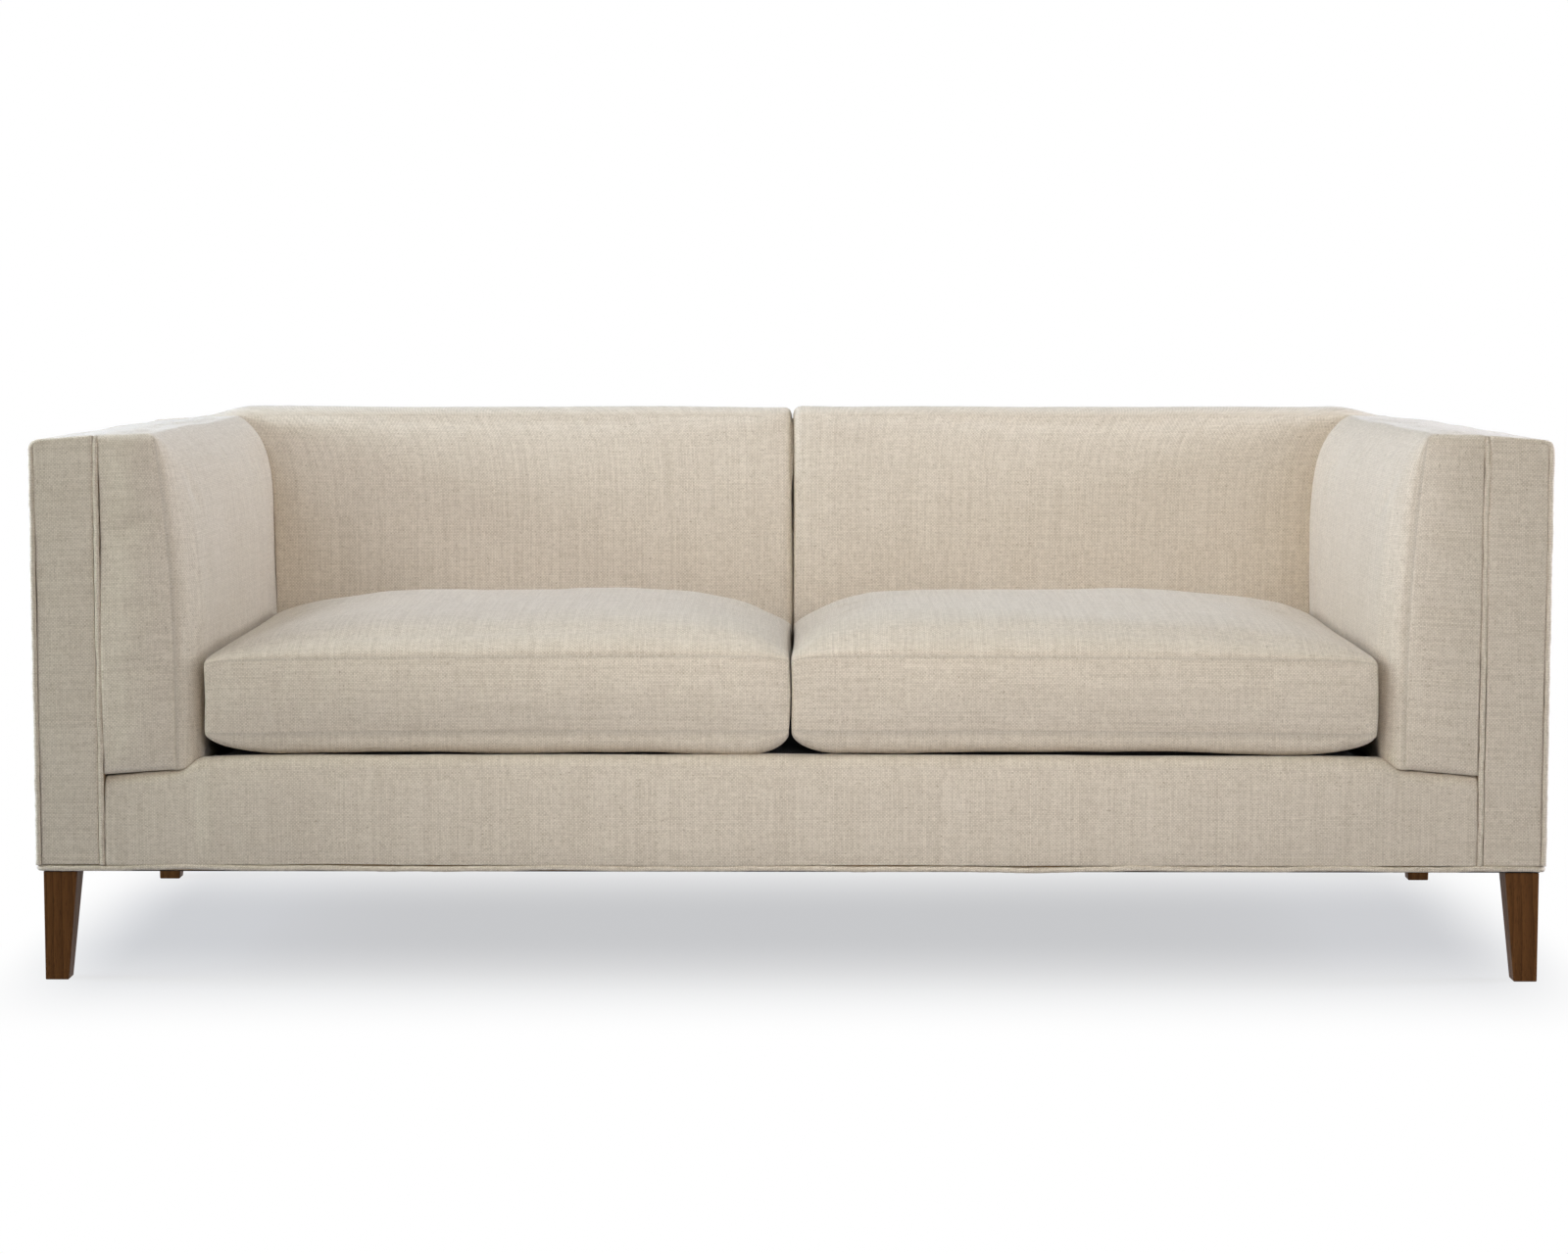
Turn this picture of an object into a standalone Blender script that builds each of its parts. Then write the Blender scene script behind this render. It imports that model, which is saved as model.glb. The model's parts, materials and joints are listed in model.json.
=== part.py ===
"""An even-arm sofa with two loose seat cushions, modelled the way it is upholstered.

A hardwood frame stands on four bolted legs. Sinuous springs carry the seat and straps carry the back.
Pads line the arms and the back, and padded cloth panels with corded welts close the outside.
Units are metres and +Z is up. +X is the right arm seen from the front, +Y is the back of the sofa,
and the origin lies on the floor under the middle of the sofa.
"""

import math

import bmesh
import bpy

# Overall sizes, measured over the welts
WIDTH = 2.134
DEPTH = 0.914
ARM_HEIGHT = 0.768

# Gap that every pair of touching pieces keeps
CLEARANCE = 0.0003

# Cloth, padded panels and corded welts
PANEL_THICKNESS = 0.0065
CLOTH_THICKNESS = 0.0015
DUST_COVER_THICKNESS = 0.001
WELT_DIAMETER = 0.008
WELT_TAIL = 0.004
CORNER_RADIUS = 0.014

# Legs: outer faces plumb, inner faces tapering to the foot
LEG_HEIGHT = 0.156
LEG_TOP_WIDTH = 0.048
LEG_FOOT_WIDTH = 0.033
LEG_SIDE_INSET = 0.009
LEG_END_INSET = 0.008
LEG_EDGE = 0.0015
BOLT_DIAMETER = 0.008
BOLT_DEPTH_IN_LEG = 0.045
BOLT_DEPTH_IN_BLOCK = 0.060

# Hardwood frame
RAIL_THICKNESS = 0.028
SEAT_RAIL_HEIGHT = 0.100
LEG_BLOCK_WIDTH = 0.080
STRETCHER_HEIGHT = 0.060
TOP_RAIL_HEIGHT = 0.070
TACK_RAIL_HEIGHT = 0.050
TACK_RAIL_RISE = 0.020
CENTRE_POST_WIDTH = 0.060
LINER_THICKNESS = 0.004

# Sinuous seat springs, tied across, and back straps
SPRING_WIRE = 0.004
SPRING_CROWN = 0.022
SPRING_BEARING = 0.018
SPRING_COUNT = 8
SPRING_BENDS = 12
SPRING_MARGIN = 0.110
STRAP_WIDTH = 0.050
STRAP_THICKNESS = 0.002
STRAP_TACKING = 0.030
STRAPS_PER_SIDE = 3

# Seat deck between the springs and the cushions
SEAT_PAD_THICKNESS = 0.060
EDGE_ROLL_RADIUS = 0.016

# Arms: a framed outer part and a thick pad that swells towards the back
ARM_FRAME_WIDTH = 0.098
ARM_PAD_THICKNESS = 0.102
ARM_PAD_CROWN = 0.034
ARM_PAD_DROP = 0.027
ARM_PAD_RISE = 0.007
ARM_PAD_EDGE = 0.006
ARM_TOP_LEAN = 0.017

# Back: two pads that lean away from the seat and roll over the top rail
BACK_SEAT_DEPTH = 0.217
BACK_TOP_DEPTH = 0.172
BACK_RIDGE_DEPTH = 0.097
BACK_RISE = 0.024
BACK_SHOULDER = 0.052
BACK_CROWN = 0.008
BACK_SPLIT = 0.003
BACK_EDGE = 0.012
BACK_END_DROP = 0.022
BACK_END_RUN = 0.140

# Loose seat cushions: boxing between two seams, crowned above and below
CUSHION_BOXING = 0.107
CUSHION_LOWER_SEAM = 0.035
CUSHION_CROWN = 0.045
CUSHION_CROWN_RUN = 0.180
CUSHION_LOWER_RUN = 0.045
CUSHION_PULL = 0.007
CUSHION_SWELL = 0.007
CUSHION_CORNER = 0.006
CUSHION_CORNER_DIP = 0.012
CUSHION_SEAM_DRAW = 0.0015
CUSHION_SEAM_RUN = 0.006
CUSHION_SETBACK = 0.007
CUSHION_SIDE_GAP = 0.006
CUSHION_MIDDLE_GAP = 0.005
CUSHION_BACK_GAP = 0.006
ZIP_LENGTH = 0.560
ZIP_HEIGHT = 0.010
SLIDER_LENGTH = 0.012
SLIDER_DROP = 0.026
SLIDER_THICKNESS = 0.003

# Planes that the pieces share, worked out from the sizes above
HALF_WIDTH = WIDTH / 2
HALF_DEPTH = DEPTH / 2
WELT_RADIUS = WELT_DIAMETER / 2
WELT_PROUD = WELT_DIAMETER - PANEL_THICKNESS
SIDE_FACE = HALF_WIDTH - WELT_PROUD
FRONT_FACE = -HALF_DEPTH + WELT_PROUD
BACK_FACE = HALF_DEPTH - WELT_PROUD
FRAME_SIDE = SIDE_FACE - PANEL_THICKNESS - CLEARANCE
FRAME_FRONT = FRONT_FACE + PANEL_THICKNESS + CLEARANCE
FRAME_BACK = BACK_FACE - PANEL_THICKNESS - CLEARANCE
FRAME_BOTTOM = LEG_HEIGHT + DUST_COVER_THICKNESS + 2 * CLEARANCE
FRAME_TOP = ARM_HEIGHT - PANEL_THICKNESS - CLEARANCE
PANEL_BOTTOM = FRAME_BOTTOM + WELT_DIAMETER + CLEARANCE
RAIL_TOP = FRAME_BOTTOM + SEAT_RAIL_HEIGHT
FRONT_RAIL_BACK = FRAME_FRONT + RAIL_THICKNESS
BACK_RAIL_FRONT = FRAME_BACK - RAIL_THICKNESS
BLOCK_INNER = FRAME_SIDE - LEG_BLOCK_WIDTH
FRONT_BLOCK_BACK = FRAME_FRONT + LEG_BLOCK_WIDTH
BACK_BLOCK_FRONT = FRAME_BACK - LEG_BLOCK_WIDTH
ARM_INNER = HALF_WIDTH - ARM_FRAME_WIDTH
PAD_SIDE = ARM_INNER - CLEARANCE
POST_INNER = ARM_INNER + LINER_THICKNESS + 2 * CLEARANCE
POST_TOP = FRAME_TOP - RAIL_THICKNESS - CLEARANCE
SEAT_PAD_BOTTOM = RAIL_TOP + SPRING_WIRE + 2 * CLEARANCE
SEAT_PAD_TOP = SEAT_PAD_BOTTOM + SEAT_PAD_THICKNESS
DECK_TOP = SEAT_PAD_TOP + CLEARANCE + CLOTH_THICKNESS
STRAP_BACK = BACK_RAIL_FRONT - CLEARANCE
PAD_REAR = STRAP_BACK - 1.5 * STRAP_THICKNESS - CLEARANCE
TACK_RAIL_BOTTOM = DECK_TOP + TACK_RAIL_RISE
ARM_PAD_BOTTOM = DECK_TOP - ARM_PAD_DROP
BACK_FRONT = HALF_DEPTH - BACK_SEAT_DEPTH
BACK_TOP = ARM_HEIGHT + BACK_RISE

# Cushion frame: its own origin is under its middle, on the deck
CUSHION_OUTER = ARM_INNER - ARM_PAD_THICKNESS - ARM_PAD_CROWN - CUSHION_SIDE_GAP
CUSHION_INNER = CUSHION_MIDDLE_GAP / 2
CUSHION_WIDTH = CUSHION_OUTER - CUSHION_INNER
CUSHION_FRONT = -HALF_DEPTH + CUSHION_SETBACK
CUSHION_REAR = BACK_FRONT - CUSHION_BACK_GAP
CUSHION_DEPTH = CUSHION_REAR - CUSHION_FRONT
ZIP_LEVEL = CUSHION_LOWER_SEAM + CUSHION_BOXING / 2

# Colour, roughness and metallic value of each finish
FINISHES = {
    "linen": ((0.52, 0.45, 0.36), 0.90, 0.0),
    "black_cloth": ((0.012, 0.012, 0.013), 0.95, 0.0),
    "walnut": ((0.085, 0.037, 0.014), 0.38, 0.0),
    "frame_wood": ((0.55, 0.38, 0.22), 0.75, 0.0),
    "fibreboard": ((0.36, 0.25, 0.15), 0.85, 0.0),
    "foam": ((0.78, 0.72, 0.55), 0.95, 0.0),
    "strap": ((0.30, 0.27, 0.22), 0.90, 0.0),
    "spring_steel": ((0.30, 0.30, 0.31), 0.40, 1.0),
    "zinc_steel": ((0.55, 0.55, 0.56), 0.32, 1.0),
}

SIDES = (("left", -1), ("right", 1))


def new_collection(name):
    collection = bpy.data.collections.new(name)
    bpy.context.scene.collection.children.link(collection)
    return collection


for stale in list(bpy.data.objects):
    bpy.data.objects.remove(stale, do_unlink=True)

PARTS = new_collection("even_arm_sofa")
CUTTERS = new_collection("cutters")


def own_material(name, look):
    """A Principled material for one piece, in the colour of its finish."""
    colour, roughness, metallic = FINISHES[look]
    material = bpy.data.materials.new(f"{name}_{look}")
    material.use_nodes = True
    shader = material.node_tree.nodes["Principled BSDF"]
    shader.inputs["Base Color"].default_value = (*colour, 1.0)
    shader.inputs["Roughness"].default_value = roughness
    shader.inputs["Metallic"].default_value = metallic
    return material


def add_piece(name, data, look, place=(0, 0, 0), parent=None):
    """Puts a mesh or curve into the scene as one finished piece of the sofa."""
    piece = bpy.data.objects.new(name, data)
    piece.location = place
    piece.parent = parent
    piece.data.materials.append(own_material(name, look))
    PARTS.objects.link(piece)
    return piece


def add_cutter(name, data, place=(0, 0, 0), parent=None):
    """Puts a mesh into the scene as a tool that only cuts or joins."""
    cutter = bpy.data.objects.new(name, data)
    cutter.location = place
    cutter.parent = parent
    cutter.hide_render = True
    cutter.display_type = "WIRE"
    CUTTERS.objects.link(cutter)
    return cutter


def add_axis(name, place, parent=None):
    """An empty on a moving piece's axis."""
    axis = bpy.data.objects.new(name, None)
    axis.location = place
    axis.parent = parent
    PARTS.objects.link(axis)
    return axis


def combine(piece, tool, operation="DIFFERENCE"):
    modifier = piece.modifiers.new(tool.name, "BOOLEAN")
    modifier.operation = operation
    modifier.solver = "EXACT"
    modifier.object = tool


def mesh_from(shape, name, smooth=False):
    bmesh.ops.recalc_face_normals(shape, faces=shape.faces)
    mesh = bpy.data.meshes.new(name)
    shape.to_mesh(mesh)
    shape.free()
    if smooth:
        mesh.shade_smooth()
    return mesh


def box_mesh(name, size):
    shape = bmesh.new()
    bmesh.ops.create_cube(shape, size=1.0)
    bmesh.ops.scale(shape, vec=size, verts=shape.verts)
    return mesh_from(shape, name)


def spans(low, high):
    """The size and the middle of the box between two corners."""
    size = [high[i] - low[i] for i in range(3)]
    middle = [(high[i] + low[i]) / 2 for i in range(3)]
    return size, middle


def board(name, low, high, look="frame_wood"):
    """A sawn board or block between two corners."""
    size, middle = spans(low, high)
    return add_piece(name, box_mesh(name, size), look, middle)


def mirrored(sign, near, far):
    """An X span on the right side, or its mirror image on the left."""
    return tuple(sorted((sign * near, sign * far)))


def rod_mesh(name, diameter, length):
    """An upright round rod whose foot is at its origin."""
    shape = bmesh.new()
    bmesh.ops.create_cone(
        shape,
        cap_ends=True,
        segments=16,
        radius1=diameter / 2,
        radius2=diameter / 2,
        depth=length,
    )
    bmesh.ops.translate(shape, vec=(0, 0, length / 2), verts=shape.verts)
    return mesh_from(shape, name, smooth=True)


def arc(centre, radius, start, end, steps):
    """Points on a circle in a plane, between two angles in degrees."""
    points = []
    for step in range(steps + 1):
        angle = math.radians(start + (end - start) * step / steps)
        points.append((centre[0] + radius * math.cos(angle), centre[1] + radius * math.sin(angle)))
    return points


def quarter_ellipse(centre, reach, rise, start, end, steps):
    """Points on an ellipse in a plane, between two angles in degrees."""
    points = []
    for step in range(steps + 1):
        angle = math.radians(start + (end - start) * step / steps)
        points.append((centre[0] + reach * math.cos(angle), centre[1] + rise * math.sin(angle)))
    return points


def poly_curve(name, points, dimensions, closed):
    curve = bpy.data.curves.new(name, "CURVE")
    curve.dimensions = dimensions
    spline = curve.splines.new("POLY")
    spline.points.add(len(points) - 1)
    for slot, point in zip(spline.points, points):
        slot.co = (*point, 1.0)
    spline.use_cyclic_u = closed
    return curve


def outline_curve(name, points, thickness):
    """A filled flat outline, extruded evenly to both sides of its plane."""
    curve = poly_curve(name, [(x, y, 0.0) for x, y in points], "2D", True)
    curve.fill_mode = "BOTH"
    curve.extrude = thickness / 2
    return curve


def front_outline(name, points, y_low, y_high, look, parent=None):
    """An XZ outline, extruded along Y."""
    curve = outline_curve(name, points, y_high - y_low)
    piece = add_piece(name, curve, look, (0, (y_low + y_high) / 2, 0), parent)
    piece.rotation_euler = (math.pi / 2, 0, 0)
    return piece


def side_outline(name, points, x_low, x_high, look):
    """A YZ outline, extruded along X."""
    curve = outline_curve(name, points, x_high - x_low)
    piece = add_piece(name, curve, look, ((x_low + x_high) / 2, 0, 0))
    piece.rotation_euler = (math.pi / 2, 0, math.pi / 2)
    return piece


def tube_curve(name, points, diameter, closed=False, roundness=2):
    curve = poly_curve(name, points, "3D", closed)
    curve.bevel_depth = diameter / 2
    curve.bevel_resolution = roundness
    curve.use_fill_caps = True
    return curve


def made_mesh(piece):
    """Turns a curve into a welded mesh in the same place, so that it can be cut or joined."""
    bpy.context.view_layer.update()
    graph = bpy.context.evaluated_depsgraph_get()
    mesh = bpy.data.meshes.new_from_object(piece.evaluated_get(graph))
    shape = bmesh.new()
    shape.from_mesh(mesh)
    bmesh.ops.remove_doubles(shape, verts=shape.verts, dist=0.00001)
    bmesh.ops.recalc_face_normals(shape, faces=shape.faces)
    shape.to_mesh(mesh)
    shape.free()
    name = piece.name
    solid = bpy.data.objects.new(f"{name}_solid", mesh)
    solid.matrix_world = piece.matrix_world
    solid.hide_render = piece.hide_render
    solid.display_type = piece.display_type
    piece.users_collection[0].objects.link(solid)
    bpy.data.objects.remove(piece, do_unlink=True)
    solid.name = name
    return solid


def loft_mesh(name, rings):
    """A closed skin over rings that have the same number of points."""
    shape = bmesh.new()
    rows = [[shape.verts.new(point) for point in ring] for ring in rings]
    count = len(rings[0])
    for row, following in zip(rows, rows[1:]):
        for i in range(count):
            j = (i + 1) % count
            shape.faces.new((row[i], row[j], following[j], following[i]))
    shape.faces.new(rows[0])
    shape.faces.new(rows[-1])
    return mesh_from(shape, name, smooth=True)


def rounded(distance, run):
    """Height of a quarter-round edge, from 0 at the edge to 1 past its run."""
    short = max(0.0, 1.0 - distance / run)
    return math.sqrt(1.0 - short * short)


def eased(value):
    """A smooth step from 0 to 1."""
    inside = min(1.0, max(0.0, value))
    return inside * inside * (3.0 - 2.0 * inside)


# Legs with their hanger bolts, and the blocks that the bolts screw into


def leg_mesh(name, side, end):
    """A leg whose top corner, outer faces and foot line up on the two outside faces."""
    size = (LEG_TOP_WIDTH, LEG_TOP_WIDTH, LEG_HEIGHT)
    shape = bmesh.new()
    bmesh.ops.create_cube(shape, size=1.0)
    bmesh.ops.scale(shape, vec=size, verts=shape.verts)
    bmesh.ops.translate(shape, vec=(0, 0, LEG_HEIGHT / 2), verts=shape.verts)
    taper = LEG_TOP_WIDTH - LEG_FOOT_WIDTH
    for vert in shape.verts:
        at_foot = vert.co.z < LEG_HEIGHT / 2
        if at_foot and vert.co.x * side < 0:
            vert.co.x += side * taper
        if at_foot and vert.co.y * end < 0:
            vert.co.y += end * taper
    return mesh_from(shape, name)


def leg_place(side, end):
    x = side * (HALF_WIDTH - LEG_SIDE_INSET - LEG_TOP_WIDTH / 2)
    y = end * (HALF_DEPTH - LEG_END_INSET - LEG_TOP_WIDTH / 2)
    return x, y


def leg_assembly(side_name, side, end_name, end):
    """One leg, its hanger bolt and the block above it; returns the tool that clears the bolt."""
    corner = f"{side_name}_{end_name}"
    x, y = leg_place(side, end)
    bolt_foot = LEG_HEIGHT - BOLT_DEPTH_IN_LEG
    bolt_length = BOLT_DEPTH_IN_LEG + FRAME_BOTTOM - LEG_HEIGHT + BOLT_DEPTH_IN_BLOCK
    bolt_name = f"{corner}_leg_bolt"
    bolt_mesh = rod_mesh(bolt_name, BOLT_DIAMETER, bolt_length)
    add_piece(bolt_name, bolt_mesh, "zinc_steel", (x, y, bolt_foot))
    hole_mesh = rod_mesh("bolt_hole", BOLT_DIAMETER + 2 * CLEARANCE, bolt_length + 2 * CLEARANCE)
    hole = add_cutter(f"{corner}_bolt_hole", hole_mesh, (x, y, bolt_foot - CLEARANCE))

    leg_name = f"{corner}_leg"
    leg = add_piece(leg_name, leg_mesh(leg_name, side, end), "walnut", (x, y, 0))
    edge = leg.modifiers.new("eased_edges", "BEVEL")
    edge.width = LEG_EDGE
    edge.segments = 2
    combine(leg, hole)

    x_span = mirrored(side, BLOCK_INNER, FRAME_SIDE)
    y_span = (FRAME_FRONT, FRONT_BLOCK_BACK) if end < 0 else (BACK_BLOCK_FRONT, FRAME_BACK)
    block = board(
        f"{corner}_leg_block",
        (x_span[0], y_span[0], FRAME_BOTTOM),
        (x_span[1], y_span[1], RAIL_TOP),
    )
    combine(block, hole)
    return hole


bolt_holes = []
for side_name, side in SIDES:
    for end_name, end in (("front", -1), ("rear", 1)):
        bolt_holes.append(leg_assembly(side_name, side, end_name, end))

# Black dust cover, tacked under the frame, with holes for the leg bolts
dust_cover = board(
    "dust_cover",
    (-FRAME_SIDE, FRAME_FRONT, LEG_HEIGHT + CLEARANCE),
    (FRAME_SIDE, FRAME_BACK, LEG_HEIGHT + CLEARANCE + DUST_COVER_THICKNESS),
    "black_cloth",
)
for bolt_hole in bolt_holes:
    combine(dust_cover, bolt_hole)

# Seat frame: rails between the leg blocks, and a stretcher across the middle
seat_rail_end = BLOCK_INNER - CLEARANCE
board(
    "front_seat_rail",
    (-seat_rail_end, FRAME_FRONT, FRAME_BOTTOM),
    (seat_rail_end, FRONT_RAIL_BACK, RAIL_TOP),
)
board(
    "rear_seat_rail",
    (-seat_rail_end, BACK_RAIL_FRONT, FRAME_BOTTOM),
    (seat_rail_end, FRAME_BACK, RAIL_TOP),
)
board(
    "centre_stretcher",
    (-RAIL_THICKNESS / 2, FRONT_RAIL_BACK + CLEARANCE, FRAME_BOTTOM),
    (RAIL_THICKNESS / 2, BACK_RAIL_FRONT - CLEARANCE, FRAME_BOTTOM + STRETCHER_HEIGHT),
)

# Arm frames: side rail, two posts, a top rail and a liner board that backs the pad
for side_name, side in SIDES:
    rail_x = mirrored(side, FRAME_SIDE - RAIL_THICKNESS, FRAME_SIDE)
    post_x = mirrored(side, POST_INNER, FRAME_SIDE)
    liner_x = mirrored(side, ARM_INNER + CLEARANCE, ARM_INNER + CLEARANCE + LINER_THICKNESS)
    board(
        f"{side_name}_side_rail",
        (rail_x[0], FRONT_BLOCK_BACK + CLEARANCE, FRAME_BOTTOM),
        (rail_x[1], BACK_BLOCK_FRONT - CLEARANCE, RAIL_TOP),
    )
    board(
        f"{side_name}_front_post",
        (post_x[0], FRAME_FRONT, RAIL_TOP + CLEARANCE),
        (post_x[1], FRONT_RAIL_BACK, POST_TOP),
    )
    board(
        f"{side_name}_back_post",
        (post_x[0], BACK_RAIL_FRONT, RAIL_TOP + CLEARANCE),
        (post_x[1], FRAME_BACK, POST_TOP),
    )
    board(
        f"{side_name}_arm_top_rail",
        (post_x[0], FRAME_FRONT, FRAME_TOP - RAIL_THICKNESS),
        (post_x[1], FRAME_BACK, FRAME_TOP),
    )
    board(
        f"{side_name}_arm_liner",
        (liner_x[0], FRAME_FRONT, RAIL_TOP + CLEARANCE),
        (liner_x[1], PAD_REAR, FRAME_TOP),
        "fibreboard",
    )

# Back frame: top rail between the posts, centre post and tack rails just above the seat deck
top_rail_bottom = FRAME_TOP - TOP_RAIL_HEIGHT
board(
    "top_back_rail",
    (-POST_INNER + CLEARANCE, BACK_RAIL_FRONT, top_rail_bottom),
    (POST_INNER - CLEARANCE, FRAME_BACK, FRAME_TOP),
)
board(
    "centre_back_post",
    (-CENTRE_POST_WIDTH / 2, BACK_RAIL_FRONT, RAIL_TOP + CLEARANCE),
    (CENTRE_POST_WIDTH / 2, FRAME_BACK, top_rail_bottom - CLEARANCE),
)
for side_name, side in SIDES:
    tack_x = mirrored(side, CENTRE_POST_WIDTH / 2 + CLEARANCE, POST_INNER - CLEARANCE)
    board(
        f"{side_name}_back_tack_rail",
        (tack_x[0], BACK_RAIL_FRONT, TACK_RAIL_BOTTOM),
        (tack_x[1], FRAME_BACK, TACK_RAIL_BOTTOM + TACK_RAIL_HEIGHT),
    )


# Seat springs: zigzag wires from rail to rail, arched upwards and tied to each other across the seat
SPRING_FLOOR = RAIL_TOP + CLEARANCE + SPRING_WIRE / 2
SPRING_PITCH = (BACK_RAIL_FRONT - FRONT_RAIL_BACK) / SPRING_BENDS


def spring_height(y):
    """Height of the arched wires above the rails, as they cross from front to back."""
    along = (y - FRONT_RAIL_BACK) / (BACK_RAIL_FRONT - FRONT_RAIL_BACK)
    inside = min(1.0, max(0.0, along))
    return SPRING_CROWN * 4.0 * inside * (1.0 - inside)


def spring_route(x):
    """One wire: a straight end on each rail, and half-round bends to alternate sides between them."""
    flat = [(x, FRONT_RAIL_BACK - SPRING_BEARING), (x, FRONT_RAIL_BACK)]
    for bend in range(SPRING_BENDS):
        middle = FRONT_RAIL_BACK + (bend + 0.5) * SPRING_PITCH
        to_side = 1 if bend % 2 == 0 else -1
        for px, py in arc((0.0, middle), SPRING_PITCH / 2, -90, 90, 3)[1:]:
            flat.append((x + to_side * px, py))
    flat.append((x, BACK_RAIL_FRONT + SPRING_BEARING))
    return [(px, py, SPRING_FLOOR + spring_height(py)) for px, py in flat]


def wire_solid(name, points):
    curve = tube_curve(name, points, SPRING_WIRE, roundness=0)
    return made_mesh(add_cutter(name, curve))


spring_reach = PAD_SIDE - SPRING_MARGIN - SPRING_PITCH / 2
spring_gap = 2 * spring_reach / (SPRING_COUNT - 1)
tie_end = spring_reach + SPRING_PITCH
tie_wires = []
for bend in (SPRING_BENDS // 3, SPRING_BENDS - 1 - SPRING_BENDS // 3):
    tie_y = FRONT_RAIL_BACK + (bend + 0.5) * SPRING_PITCH
    tie_z = SPRING_FLOOR + spring_height(tie_y) - SPRING_WIRE / 4
    tie_wires.append(wire_solid(f"tie_wire_{bend}", [(-tie_end, tie_y, tie_z), (tie_end, tie_y, tie_z)]))
seat_springs = add_piece("seat_springs", tie_wires[0].data.copy(), "spring_steel")
combine(seat_springs, wire_solid("spring_0", spring_route(-spring_reach)), "UNION")
combine(seat_springs, tie_wires[1], "UNION")
for number in range(1, SPRING_COUNT):
    spring = wire_solid(f"spring_{number}", spring_route(-spring_reach + number * spring_gap))
    combine(seat_springs, spring, "UNION")

# Back straps: upright straps tacked to the tack rails and the top rail, woven with one cross strap
cross_level = (TACK_RAIL_BOTTOM + FRAME_TOP) / 2
cross_end = POST_INNER + STRAP_TACKING
cross_size, cross_middle = spans(
    (-cross_end, STRAP_BACK - 1.5 * STRAP_THICKNESS, cross_level - STRAP_WIDTH / 2),
    (cross_end, STRAP_BACK - 0.5 * STRAP_THICKNESS, cross_level + STRAP_WIDTH / 2),
)
back_straps = add_piece("back_straps", box_mesh("back_straps", cross_size), "strap", cross_middle)
strap_gap = (POST_INNER - CENTRE_POST_WIDTH / 2) / STRAPS_PER_SIDE
for side_name, side in SIDES:
    for number in range(STRAPS_PER_SIDE):
        strap_x = side * (CENTRE_POST_WIDTH / 2 + (number + 0.5) * strap_gap)
        strap_size, strap_middle = spans(
            (strap_x - STRAP_WIDTH / 2, STRAP_BACK - STRAP_THICKNESS, TACK_RAIL_BOTTOM),
            (strap_x + STRAP_WIDTH / 2, STRAP_BACK, top_rail_bottom + STRAP_TACKING),
        )
        strap_name = f"{side_name}_strap_{number}"
        strap = add_cutter(strap_name, box_mesh(strap_name, strap_size), strap_middle)
        combine(back_straps, strap, "UNION")


# Arm pads: thick inside-arm pads, square at the boxed front and swelling inwards towards the back


def arm_section(y, inset, grow):
    """The pad's XZ outline at one place along the arm, on the right-hand side."""
    along = min(1.0, max(0.0, (y - FRONT_FACE) / (BACK_FRONT - FRONT_FACE)))
    crown = ARM_PAD_CROWN * (1.0 - (1.0 - along) ** 2)
    side = PAD_SIDE + grow
    bottom = ARM_PAD_BOTTOM + inset - grow
    crease = ARM_HEIGHT - ARM_PAD_EDGE - inset + grow
    points = [(side, bottom)]
    for height in (0.0, 0.12, 0.25, 0.4, 0.55, 0.7, 0.8, 0.87, 0.92, 0.96, 0.985, 1.0):
        lean = ARM_TOP_LEAN * height ** 6
        swell = crown * (1.0 - height ** 15)
        x = ARM_INNER - ARM_PAD_THICKNESS + lean - swell + inset - grow
        points.append((x, bottom + height * (crease - bottom)))
    edge = points[-1][0]
    for across in (0.06, 0.15, 0.3, 0.45, 0.6, 0.75, 0.88):
        rise = (ARM_PAD_EDGE + ARM_PAD_RISE) * math.sqrt(math.sin(math.pi * across))
        points.append((edge + across * (side - edge), crease + rise))
    points.append((side, crease))
    return points


def arm_pad_mesh(name, side, grow):
    """The whole pad; grow swells it on every face, for cutting what it presses against."""
    front = FRONT_FACE - grow
    rear = PAD_REAR + grow
    length = BACK_FRONT - FRONT_FACE
    stations = [(front, ARM_PAD_EDGE), (front + ARM_PAD_EDGE, 0.0)]
    stations += [(FRONT_FACE + share * length, 0.0) for share in (0.1, 0.2, 0.35, 0.5, 0.7, 0.85, 1.0)]
    stations += [(rear, 0.0)]
    rings = []
    for y, inset in stations:
        rings.append([(side * x, y, z) for x, z in arm_section(y, inset, grow)])
    return loft_mesh(name, rings)


arm_tools = []
for side_name, side in SIDES:
    pad_name = f"{side_name}_arm_pad"
    add_piece(pad_name, arm_pad_mesh(pad_name, side, 0.0), "linen")
    arm_tools.append(add_cutter(f"{pad_name}_room", arm_pad_mesh("arm_pad_room", side, CLEARANCE)))


# Back pads: each half leans back, rolls over the top rail, and is fitted between the arm pads


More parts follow.
